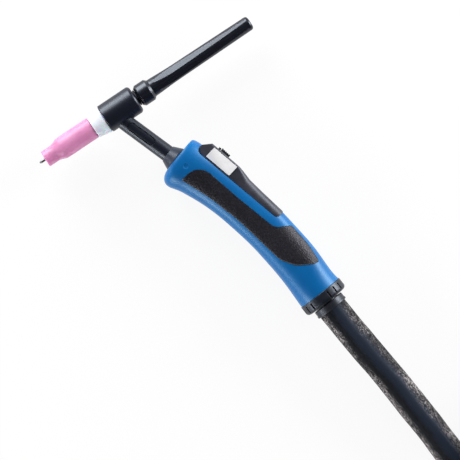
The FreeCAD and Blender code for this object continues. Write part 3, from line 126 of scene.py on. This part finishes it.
# The gloss of dark plastic is a little cool, and that of the blue handle and the pads has a tint of its own
DARK_GLOSS = (0.80, 0.88, 1.0, 1)
BLUE_GLOSS = (0.55, 0.84, 1.0, 1)
PAD_GLOSS = (0.90, 0.90, 1.0, 1)
BEVEL_SAMPLES = 6

# Studio: the floor's half width, its colour and the share of it that glows, and the world's strength
FLOOR_HALF = 4.0
FLOOR_COLOUR = (0.9, 0.9, 0.9, 1)
FLOOR_GLOW = 0.9
WORLD_STRENGTH = 0.08
WHITE = (1, 1, 1, 1)
# Softboxes beyond the nozzle, at the left, and one at each side of the handle: name, place, size, power
LAMPS = [
    ("key", (-1.38, 0.30, 0.50), (0.8, 0.95), 31.0),
    ("left", (-1.05, -1.0, 0.36), (0.6, 0.5), 5.0),
    ("low", (0.29, -1.4, 0.38), (0.75, 0.5), 19.0),
    ("rim", (0.30, 1.25, 0.36), (0.7, 0.62), 30.0),
]
LAMP_AIM = (0.0, -0.03, 0.02)


# Node helpers

class Paint:
    """A material under construction: a principled shader and what feeds it."""

    def __init__(self, name, **sockets):
        self.material = bpy.data.materials.new(name)
        self.material.use_nodes = True
        self.nodes = self.material.node_tree.nodes
        self.links = self.material.node_tree.links
        self.shader = self.nodes["Principled BSDF"]
        self.place = self.add("ShaderNodeTexCoord").outputs["Object"]
        for socket, value in sockets.items():
            self.shader.inputs[socket.replace("_", " ")].default_value = value

    def add(self, kind, inputs=(), **settings):
        node = self.nodes.new(kind)
        for name, value in settings.items():
            setattr(node, name, value)
        for socket, value in dict(inputs).items():
            if isinstance(value, bpy.types.NodeSocket):
                self.links.new(value, node.inputs[socket])
            else:
                node.inputs[socket].default_value = value
        return node

    def feed(self, socket, value):
        self.links.new(value, self.shader.inputs[socket])

    def turned(self, angle):
        """Places that are turned by this angle about Z."""
        return self.add("ShaderNodeMapping", {"Vector": self.place, "Rotation": (0, 0, angle)}).outputs[0]

    def scaled(self, place, scale):
        return self.add("ShaderNodeMapping", {"Vector": place, "Scale": scale}).outputs[0]

    def stretched(self, way, along, across):
        """Places for a texture that is drawn out along this way."""
        return self.scaled(self.turned(-math.atan2(way.y, way.x)), (along, across, across))

    def noise(self, scale, detail=3.0, roughness=0.5, place=None):
        return self.add("ShaderNodeTexNoise", {
            "Vector": place or self.place, "Scale": scale, "Detail": detail, "Roughness": roughness,
        }).outputs[0]

    def cells(self, scale):
        return self.add("ShaderNodeTexVoronoi", {"Vector": self.place, "Scale": scale}).outputs["Distance"]

    def waves(self, scale, distortion, place):
        """Bands across the X of these places."""
        return self.add("ShaderNodeTexWave", {
            "Vector": place, "Scale": scale, "Distortion": distortion, "Detail": 2.0,
        }, bands_direction="X").outputs["Fac"]

    def spread(self, value, low, high, to_low=0.0, to_high=1.0):
        """Stretches the values from low to high over the range that is wanted."""
        return self.add("ShaderNodeMapRange", {
            "Value": value, "From Min": low, "From Max": high, "To Min": to_low, "To Max": to_high,
        }).outputs[0]

    def clouds(self, scale, low=0.3, high=0.7, detail=4.0):
        """Broad unevenness, from 0 to 1."""
        return self.spread(self.noise(scale, detail), low, high)

    def dust(self, scale, low, share):
        """Fine specks of this share."""
        return self.product(self.spread(self.noise(scale, 5.0, 0.7), low, 0.8), share)

    def calc(self, operation, *values):
        return self.add("ShaderNodeMath", dict(enumerate(values)), operation=operation).outputs[0]

    def sum(self, a, b, share=1.0):
        return self.calc("ADD", a, self.product(b, share))

    def product(self, a, b):
        return self.calc("MULTIPLY", a, b)

    def blend(self, share, first, second):
        """A colour between two colours."""
        node = self.add("ShaderNodeMix", data_type="RGBA")
        factor, a, b = node.inputs[0], node.inputs[6], node.inputs[7]
        for socket, value in ((factor, share), (a, first), (b, second)):
            if isinstance(value, bpy.types.NodeSocket):
                self.links.new(value, socket)
            else:
                socket.default_value = (*value, 1) if isinstance(value, tuple) else value
        return node.outputs[2]

    def rounded(self, radius):
        """The normal of a surface whose edges are rounded this far."""
        return self.add("ShaderNodeBevel", {"Radius": radius}, samples=BEVEL_SAMPLES).outputs[0]

    def edges(self, radius, towards=None):
        """How near a point is to a sharp edge, from 0 to 1. Given a way, only edges on that side count."""
        round_normal = self.rounded(radius)
        normal = self.add("ShaderNodeNewGeometry").outputs["Normal"]
        same = self.add("ShaderNodeVectorMath", {0: round_normal, 1: normal}, operation="DOT_PRODUCT")
        near = self.spread(same.outputs["Value"], 0.995, 0.8)
        if towards is None:
            return near
        lean = self.add("ShaderNodeVectorMath", {0: round_normal, 1: towards}, operation="DOT_PRODUCT")
        return self.product(near, self.spread(lean.outputs["Value"], 0.1, 0.35))

    def relief(self, height, strength, distance, rounding=0.0):
        """Bumps of this height, on edges that look rounded."""
        bump = self.add("ShaderNodeBump", {"Height": height, "Strength": strength, "Distance": distance})
        if rounding:
            self.links.new(self.rounded(rounding), bump.inputs["Normal"])
        self.feed("Normal", bump.outputs[0])


# Materials

def moulded_plastic(name, colour, light, roughness,
                    grain=1400.0, depth=0.00006, rounding=0.0003, pale_edge_share=0.35):
    """Plastic with a fine moulded grain, a little uneven, and paler along its edges: scuffing, and where
    that share is large also a painted highlight on the edges.
    """
    paint = Paint(name, Specular_IOR_Level=0.4, Specular_Tint=DARK_GLOSS)
    broad = paint.clouds(45.0, 0.35, 0.65)
    fine = paint.noise(grain, 2.0)
    body = paint.blend(paint.product(broad, 0.35), colour, light)
    pale_edges = paint.product(paint.edges(rounding * 1.5), pale_edge_share)
    scuffs_and_highlights = paint.product(pale_edges, paint.spread(paint.noise(260.0, 4.0), 0.3, 0.6))
    paint.feed("Base Color", paint.blend(scuffs_and_highlights, body, light))
    uneven = paint.sum(fine, broad, 0.5)
    paint.feed("Roughness", paint.spread(uneven, 0.3, 1.1, roughness - 0.06, roughness + 0.1))
    paint.relief(fine, 0.5, depth, rounding)
    return paint.material


def handle_blue():
    paint = Paint("handle_blue", Specular_IOR_Level=0.42, Specular_Tint=BLUE_GLOSS)
    broad = paint.clouds(28.0)
    fine = paint.noise(1300.0, 2.0)
    body = paint.blend(broad, (0.0, 0.088, 0.285), (0.0, 0.115, 0.340))
    body = paint.blend(paint.dust(700.0, 0.62, 0.08), body, (0.01, 0.28, 0.56))
    # Brighter blue along sharp edges: partly scuffing, partly a painted highlight along the rims.
    pale_edges = paint.product(paint.edges(0.0005), paint.spread(paint.noise(300.0, 3.0), 0.25, 0.6, 0.05, 0.3))
    paint.feed("Base Color", paint.blend(pale_edges, body, (0.02, 0.38, 0.74)))
    paint.feed("Roughness", paint.spread(paint.sum(fine, broad, 0.4), 0.3, 1.0, 0.38, 0.44))
    paint.relief(fine, 0.03, 0.00002)
    return paint.material


def pad_rubber():
    paint = Paint("pad_rubber", Specular_IOR_Level=0.44, Specular_Tint=PAD_GLOSS)
    grain = paint.cells(950.0)
    fine = paint.noise(1700.0, 2.0)
    broad = paint.clouds(60.0, 0.35, 0.7)
    specks = paint.product(paint.spread(grain, 0.45, 0.8), paint.spread(broad, 0.0, 1.0, 0.4, 1.0))
    body = paint.blend(specks, (0.0, 0.0, 0.002), (0.014, 0.013, 0.021))
    # Painted highlight: only the pad's edges that face -Y, along its lower side, are painted a thin light
    # brownish line.
    lower_edge_highlight = paint.edges(0.0014, (0, -1, 0))
    paint.feed("Base Color", paint.blend(lower_edge_highlight, body, (0.20, 0.155, 0.14)))
    paint.feed("Roughness", paint.spread(fine, 0.2, 0.8, 0.38, 0.6))
    paint.relief(paint.sum(grain, fine, 0.5), 0.9, 0.00026, 0.0004)
    return paint.material


def cover_rubber():
    paint = Paint("cover_rubber", Specular_IOR_Level=0.52, Specular_Tint=DARK_GLOSS)
    fine = paint.noise(1500.0, 3.0, 0.6)
    broad = paint.clouds(50.0, detail=5.0)
    body = paint.blend(broad, (0.002, 0.003, 0.008), (0.004, 0.005, 0.013))
    body = paint.blend(paint.dust(900.0, 0.58, 0.08), body, (0.06, 0.07, 0.09))
    pale_edges = paint.product(paint.edges(0.0005), 0.12)
    paint.feed("Base Color", paint.blend(pale_edges, body, (0.05, 0.055, 0.075)))
    paint.feed("Roughness", paint.spread(fine, 0.3, 0.7, 0.34, 0.44))
    paint.relief(fine, 0.3, 0.00005, 0.0003)
    return paint.material


def cap_plastic():
    """Black plastic with fine scratches along the cap."""
    paint = Paint("cap_plastic", Specular_IOR_Level=0.6, Specular_Tint=DARK_GLOSS)
    streaks = paint.noise(60.0, 6.0, 0.7, paint.stretched(HEAD_WAY, 1.0, 22.0))
    fine = paint.noise(1200.0, 3.0)
    body = paint.blend(paint.spread(streaks, 0.45, 0.75), (0.001, 0.001, 0.004), (0.006, 0.007, 0.015))
    body = paint.blend(paint.dust(800.0, 0.55, 0.06), body, (0.10, 0.10, 0.11))
    pale_edges = paint.product(paint.edges(0.0006), 0.25)
    paint.feed("Base Color", paint.blend(pale_edges, body, (0.14, 0.14, 0.17)))
    paint.feed("Roughness", paint.spread(streaks, 0.3, 0.8, 0.30, 0.42))
    paint.relief(paint.sum(streaks, fine, 0.3), 0.3, 0.00006, 0.0004)
    return paint.material


def nozzle_ceramic():
    paint = Paint("nozzle_ceramic", Subsurface_Weight=0.6, Subsurface_Scale=0.006,
                  Subsurface_Radius=(1.0, 0.75, 0.95), Specular_IOR_Level=0.5,
                  Sheen_Weight=0.08, Sheen_Roughness=0.5)
    broad = paint.clouds(70.0, detail=5.0)
    fine = paint.noise(1500.0, 3.0)
    body = paint.blend(broad, (0.58, 0.20, 0.40), (0.67, 0.27, 0.47))
    rings = paint.waves(420.0, 0.6, paint.stretched(HEAD_WAY, 1.0, 0.0))
    body = paint.blend(paint.product(rings, 0.08), body, (0.80, 0.45, 0.62))
    pits = paint.product(paint.spread(paint.noise(900.0, 3.0), 0.66, 0.78), 0.2)
    paint.feed("Base Color", paint.blend(pits, body, (0.36, 0.10, 0.25)))
    paint.feed("Roughness", paint.spread(fine, 0.3, 0.7, 0.38, 0.5))
    paint.relief(paint.sum(fine, rings, 0.3), 0.15, 0.00003)
    return paint.material


def insulator_white():
    paint = Paint("insulator_white", Subsurface_Weight=0.3, Subsurface_Scale=0.003)
    fine = paint.noise(1400.0, 3.0)
    paint.feed("Base Color", paint.blend(paint.clouds(90.0), (0.63, 0.68, 0.77), (0.77, 0.81, 0.88)))
    paint.feed("Roughness", paint.spread(fine, 0.3, 0.7, 0.3, 0.45))
    paint.relief(fine, 0.3, 0.00004, 0.0004)
    return paint.material


def label_white():
    """A bare plate with a faint crossed grain."""
    paint = Paint("label_white")
    one, other = (paint.waves(520.0, 1.2, paint.turned(math.radians(turn))) for turn in (45.0, -45.0))
    weave = paint.product(one, other)
    body = paint.blend(paint.clouds(120.0), (0.78, 0.77, 0.78), (0.87, 0.86, 0.87))
    paint.feed("Base Color", paint.blend(paint.product(weave, 0.4), body, (0.52, 0.53, 0.56)))
    paint.feed("Roughness", paint.spread(weave, 0.0, 1.0, 0.45, 0.6))
    paint.relief(weave, 0.3, 0.00003, 0.0002)
    return paint.material


def metal(name, colour, light, roughness, way=HEAD_WAY):
    """Turned or ground metal, with fine marks across this way."""
    paint = Paint(name, Metallic=1.0)
    marks = paint.noise(900.0, 4.0, 0.7, paint.stretched(way, 1.0, 0.04))
    paint.feed("Base Color", paint.blend(paint.clouds(90.0), colour, light))
    paint.feed("Roughness", paint.spread(marks, 0.3, 0.7, roughness - 0.08, roughness + 0.1))
    paint.relief(marks, 0.4, 0.00004, 0.0002)
    return paint.material


def hose_leather():
    """Black split leather: a smooth strip along its top, and a rough nap at the sides painted grey in
    specks, partly wear from rubbing and partly a painted sheen of light grazing the nap.

    The hose's own values say where a point is: turn, from -1 to 1 round the hose, and along, in metres.
    """
    paint = Paint("hose_leather", Specular_IOR_Level=0.2, Specular_Tint=DARK_GLOSS)
    turn = paint.add("ShaderNodeAttribute", attribute_name="turn").outputs["Fac"]
    along = paint.add("ShaderNodeAttribute", attribute_name="along").outputs["Fac"]
    across = paint.product(turn, math.pi * HOSE_R)
    skin = paint.add("ShaderNodeCombineXYZ", {"X": along, "Y": across}).outputs[0]
    streaks = paint.scaled(skin, (0.55, 1.0, 1.0))
    turn = paint.sum(turn, paint.spread(paint.noise(45.0, 4.0), 0.2, 0.8, -1.0, 1.0), 0.05)
    strip = paint.product(paint.spread(turn, 0.14, 0.03), paint.spread(turn, -0.23, -0.11))
    sides = paint.calc("MAXIMUM", paint.spread(turn, 0.21, 0.36), paint.spread(turn, -0.08, -0.26))
    nap = paint.noise(1300.0, 4.0, 0.7, streaks)
    fibres = paint.noise(450.0, 6.0, 0.75, streaks)
    patches = paint.spread(paint.noise(30.0, 6.0, 0.65), 0.43, 0.58)
    hide = paint.blend(paint.spread(fibres, 0.4, 0.6), (0.001, 0.001, 0.002), (0.005, 0.005, 0.007))
    body = paint.blend(strip, hide, (0.014, 0.020, 0.034))
    # Grey specks on the upper flanks: partly wear from rubbing, partly a painted sheen where light grazes
    # the nap. They fade towards the underside.
    rubbed_and_sheen = paint.product(paint.spread(nap, 0.44, 0.60), paint.spread(fibres, 0.42, 0.56))
    rubbed_and_sheen = paint.product(paint.product(rubbed_and_sheen, sides), paint.spread(patches, 0.0, 1.0, 0.2, 1.0))
    rubbed_and_sheen = paint.product(rubbed_and_sheen, paint.spread(paint.calc("ABSOLUTE", turn), 0.58, 0.38, 0.1, 1.0))
    paint.feed("Base Color", paint.blend(rubbed_and_sheen, body, (0.74, 0.68, 0.68)))
    paint.feed("Roughness", paint.spread(strip, 0.0, 1.0, 0.75, 0.5))
    height = paint.product(paint.sum(nap, fibres), paint.spread(strip, 1.0, 0.0, 0.1, 1.0))
    paint.relief(height, 0.8, 0.0007)
    return paint.material


def circuit_green():
    paint = Paint("circuit_green", Coat_Weight=0.4)
    tracks = paint.add("ShaderNodeTexBrick", {
        "Vector": paint.place, "Scale": 260.0, "Mortar Size": 0.08,
        "Color1": (0.01, 0.11, 0.04, 1), "Color2": (0.015, 0.15, 0.05, 1), "Mortar": (0.03, 0.25, 0.09, 1),
    })
    paint.feed("Base Color", tracks.outputs["Color"])
    paint.feed("Roughness", paint.spread(paint.noise(500.0), 0.3, 0.7, 0.3, 0.5))
    return paint.material


def material_table():
    dark, grey = (0.010, 0.010, 0.013), (0.05, 0.05, 0.055)
    return {
        "cover_rubber": cover_rubber(),
        "cap_plastic": cap_plastic(),
        "seal_rubber": moulded_plastic("seal_rubber", (0.006, 0.006, 0.007), grey, 0.55),
        "nozzle_ceramic": nozzle_ceramic(),
        "insulator_white": insulator_white(),
        "tungsten": metal("tungsten", (0.17, 0.17, 0.175), (0.30, 0.30, 0.31), 0.38),
        "brass": metal("brass", (0.62, 0.42, 0.15), (0.72, 0.52, 0.22), 0.3, HANDLE_WAY),
        "copper": metal("copper", (0.65, 0.28, 0.16), (0.75, 0.38, 0.24), 0.32),
        "boot_grey": moulded_plastic("boot_grey", (0.018, 0.022, 0.037), (0.07, 0.08, 0.105), 0.34),
        "handle_blue": handle_blue(),
        "pad_rubber": pad_rubber(),
        # The module's edges are twice as pale as the others: a painted highlight along its bevels as well as
        # scuffing.
        "module_grey": moulded_plastic("module_grey", (0.024, 0.024, 0.034), (0.10, 0.10, 0.12), 0.46,
                                       grain=900.0, depth=0.0001, rounding=0.0009, pale_edge_share=0.7),
        "label_white": label_white(),
        "button_black": moulded_plastic("button_black", dark, grey, 0.42),
        "board_green": circuit_green(),
        "steel": metal("steel", (0.42, 0.42, 0.43), (0.55, 0.55, 0.56), 0.3, HANDLE_WAY),
        "cable_red": moulded_plastic("cable_red", (0.25, 0.012, 0.012), (0.4, 0.05, 0.04), 0.5),
        "hose_black": moulded_plastic("hose_black", (0.008, 0.008, 0.010), grey, 0.5),
        "nut_black": moulded_plastic("nut_black", (0.006, 0.008, 0.014), (0.08, 0.08, 0.10), 0.40, pale_edge_share=0.3),
        "hose_leather": hose_leather(),
        "plug_black": moulded_plastic("plug_black", (0.012, 0.012, 0.015), (0.07, 0.07, 0.08), 0.42),
    }


# Hose

def smooth(share):
    share = min(max(share, 0.0), 1.0)
    return share * share * (3 - 2 * share)


def bench_point(point):
    """The place in the frame of a point whose X and Y are counted from the ball."""
    return Vector((BALL.x + point[0], BALL.y + point[1], point[2]))


def coil_heading():
    """The angle of the hose where the coil begins."""
    return math.atan2(COIL_START[1] - HOSE_ROUTE[-1][1], COIL_START[0] - HOSE_ROUTE[-1][0])


def coil_ring(turn):
    """Radius and height over the bench of the hose's middle, after this many turns."""
    turn_out = COIL_IN_TURNS + COIL_OUT_TURNS
    over_from = COIL_IN_TURNS - COIL_OVER_TURNS / 2
    radius = COIL_INNER_R + COIL_STEP * abs(turn - COIL_IN_TURNS)
    height = HOSE_R + COIL_LAYER * smooth((turn - over_from) / COIL_OVER_TURNS)
    if turn > turn_out:
        share = smooth((turn - turn_out) / COIL_UP_TURNS)
        lean = math.radians(COIL_END_LEAN * share)
        second = HOSE_R + COIL_LAYER
        last_spread = (COIL_END_HEIGHT - second) / math.sin(math.radians(COIL_END_LEAN))
        spread = COIL_STEP + (last_spread - COIL_STEP) * share
        radius += spread * math.cos(lean) - COIL_STEP
        height += spread * math.sin(lean)
    return radius, height


def coil_point(turn, outward=1.0):
    """A place on the coil. A spline's points lie a little outward of the line that it draws."""
    heading = coil_heading()
    left = Vector((-math.sin(heading), math.cos(heading), 0))
    start = bench_point(COIL_START)
    centre = Vector((start.x, start.y, 0)) + left * coil_ring(0)[0]
    radius, height = coil_ring(turn)
    angle = heading - math.pi / 2 + 2 * math.pi * turn
    return centre + Vector((math.cos(angle) * radius * outward, math.sin(angle) * radius * outward, height))


def hose_points():
    """The points that the hose's smooth line is drawn from."""
    start = BALL + HOSE_WAY * HOSE_START
    points = [start, start + HOSE_WAY * HOSE_FIRST_RUN]
    points += [bench_point(point) for point in (*HOSE_ROUTE, COIL_START)]
    outward = 1 / math.cos(math.pi / COIL_POINTS_PER_TURN)
    end_turn = COIL_WHOLE_TURNS + (math.pi - coil_heading()) / (2 * math.pi)
    count = round(end_turn * COIL_POINTS_PER_TURN)
    for i in range(1, count):
        points.append(coil_point(end_turn * i / count, outward))
    end = coil_point(end_turn)
    points.append(end)
    points.append(end + Vector((-COIL_STRAIGHT, 0, 0)))
    return points


def smooth_line(points):
    """Points close together on the open spline that these points control."""
    curve = bpy.data.curves.new("route", "CURVE")
    curve.dimensions = "3D"
    spline = curve.splines.new("NURBS")
    spline.points.add(len(points) - 1)
    for control, point in zip(spline.points, points):
        control.co = (*point, 1)
    spline.order_u = SPLINE_ORDER
    spline.use_endpoint_u = True
    curve.resolution_u = SPLINE_STEPS
    route = bpy.data.objects.new("route", curve)
    bpy.context.scene.collection.objects.link(route)
    bpy.context.view_layer.update()
    mesh = bpy.data.meshes.new_from_object(route.evaluated_get(bpy.context.evaluated_depsgraph_get()))
    line = [vertex.co.copy() for vertex in mesh.vertices]
    bpy.data.objects.remove(route)
    bpy.data.meshes.remove(mesh)
    return line


def even_steps(line, step):
    """Points a steady step apart along a line of close points."""
    lengths = [0.0]
    for a, b in zip(line, line[1:]):
        lengths.append(lengths[-1] + (b - a).length)
    count = max(2, round(lengths[-1] / step))
    points, at = [], 0
    for i in range(count + 1):
        want = lengths[-1] * i / count
        while at < len(line) - 2 and lengths[at + 1] < want:
            at += 1
        part = (want - lengths[at]) / max(lengths[at + 1] - lengths[at], 1e-9)
        points.append(line[at].lerp(line[at + 1], min(max(part, 0.0), 1.0)))
    return points, lengths[-1]


def new_piece(name, vertices, faces, material, smooth_faces=True):
    mesh = bpy.data.meshes.new(name)
    mesh.from_pydata(vertices, [], faces)
    mesh.update()
    piece = bpy.data.objects.new(name, mesh)
    bpy.context.scene.collection.objects.link(piece)
    mesh.materials.append(material)
    if smooth_faces:
        mesh.shade_smooth()
    return piece


def tube_mesh(points, sides, radius_at):
    """Rings of points round a line, closed at both ends, with a radius for each place and way out."""
    vertices, faces = [], []
    normal = Vector((0, 0, 1))
    for i, point in enumerate(points):
        way = (points[min(i + 1, len(points) - 1)] - points[max(i - 1, 0)]).normalized()
        normal = (normal - way * normal.dot(way)).normalized()
        side = way.cross(normal)
        for j in range(sides):
            angle = 2 * math.pi * j / sides
            out = normal * math.cos(angle) + side * math.sin(angle)
            vertices.append(point + out * radius_at(i, out))
        if i:
            for j in range(sides):
                a, b = (i - 1) * sides + j, (i - 1) * sides + (j + 1) % sides
                faces.append((a, b, b + sides, a + sides))
    faces.append(tuple(range(sides)))
    faces.append(tuple(reversed(range(len(vertices) - sides, len(vertices)))))
    return vertices, faces


def add_values(piece, name, values):
    """Gives each point of a piece a number that its material reads by this name."""
    attribute = piece.data.attributes.new(name, "FLOAT", "POINT")
    for i, value in enumerate(values):
        attribute.data[i].value = value


def leather_hose(materials):
    points, length = even_steps(smooth_line(hose_points()), HOSE_STEP)
    last = len(points) - 1

    def radius_at(i, out):
        calm = min(1.0, (i * HOSE_STEP) / CALM_AT_HANDLE, ((last - i) * HOSE_STEP) / CALM_AT_PLUG)
        place = points[i] + out * HOSE_R
        slack = noise.noise(place * SLACK_SCALE) * SLACK_HEIGHT
        folds = noise.noise(Vector([a * b for a, b in zip(place, FOLD_SCALES)])) * FOLD_HEIGHT
        return HOSE_R - SLEEVE_SINK + calm * (slack + folds)

    vertices, faces = tube_mesh(points, HOSE_SIDES, radius_at)
    for vertex in vertices:
        vertex.z = max(vertex.z, 0.0)
    hose = new_piece("leather_hose", vertices, faces, materials["hose_leather"])
    turns = [2 * (i + 0.5) / HOSE_SIDES for i in range(HOSE_SIDES)]
    turns = [turn - 2 if turn > 1 else turn for turn in turns]
    add_values(hose, "turn", turns * len(points))
    add_values(hose, "along", [(i // HOSE_SIDES) * HOSE_STEP for i in range(len(vertices))])
    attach(hose, "hose")
    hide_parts("hose_run", "hose_coil")


# CAD pieces

def dress_nodes(materials):
    """Gives each CAD node the finish of its slot."""
    slots = {row["node"]: row["material_slot"] for row in frame["record"]["subparts"]}
    for name, node in frame["nodes"].items():
        node.data.materials.clear()
        node.data.materials.append(materials[slots[name]])


# Studio

def floor():
    """A pale floor that takes the shadows, and glows white where the camera, metal or glass sees it."""
    paint = Paint("floor", Base_Color=FLOOR_COLOUR, Roughness=0.9, Specular_IOR_Level=0.1)
    rays = paint.add("ShaderNodeLightPath").outputs
    seen = rays["Is Camera Ray"]
    for kind in ("Is Glossy Ray", "Is Transmission Ray"):
        seen = paint.calc("MAXIMUM", seen, rays[kind])
    glow = paint.add("ShaderNodeEmission", {"Color": WHITE}).outputs[0]
    share = paint.product(seen, FLOOR_GLOW)
    mix = paint.add("ShaderNodeMixShader", {0: share, 1: paint.shader.outputs[0], 2: glow}).outputs[0]
    paint.links.new(mix, paint.nodes["Material Output"].inputs["Surface"])
    corners = [(x * FLOOR_HALF, y * FLOOR_HALF, 0) for x, y in ((-1, -1), (1, -1), (1, 1), (-1, 1))]
    piece = new_piece("floor", corners, [(0, 1, 2, 3)], paint.material, False)


def world():
    made = bpy.data.worlds.new("studio")
    made.use_nodes = True
    background = made.node_tree.nodes["Background"]
    background.inputs["Color"].default_value = WHITE
    background.inputs["Strength"].default_value = WORLD_STRENGTH
    bpy.context.scene.world = made


def softbox(name, place, size, power):
    light = bpy.data.lights.new(name, "AREA")
    light.shape = "RECTANGLE"
    light.size, light.size_y = size
    light.energy = power
    lamp = bpy.data.objects.new(name, light)
    bpy.context.scene.collection.objects.link(lamp)
    lamp.location = place
    lamp.rotation_euler = (Vector(LAMP_AIM) - Vector(place)).to_track_quat("-Z", "Y").to_euler()


def camera():
    data = bpy.data.cameras.new("camera")
    data.lens = LENS
    data.sensor_width = SENSOR
    data.clip_end = CLIP_END
    viewer = bpy.data.objects.new("camera", data)
    bpy.context.scene.collection.objects.link(viewer)
    distance = VIEW_WIDTH * LENS / SENSOR
    viewer.location = (BALL.x + VIEW_X, BALL.y + VIEW_Y, BALL.z + distance)
    viewer.rotation_euler = (0, 0, math.radians(VIEW_TURN))
    bpy.context.scene.camera = viewer


def main():
    camera()
    materials = material_table()
    leather_hose(materials)
    dress_nodes(materials)
    floor()
    world()
    for lamp in LAMPS:
        softbox(*lamp)
    bpy.context.scene.view_settings.view_transform = "Standard"


main()
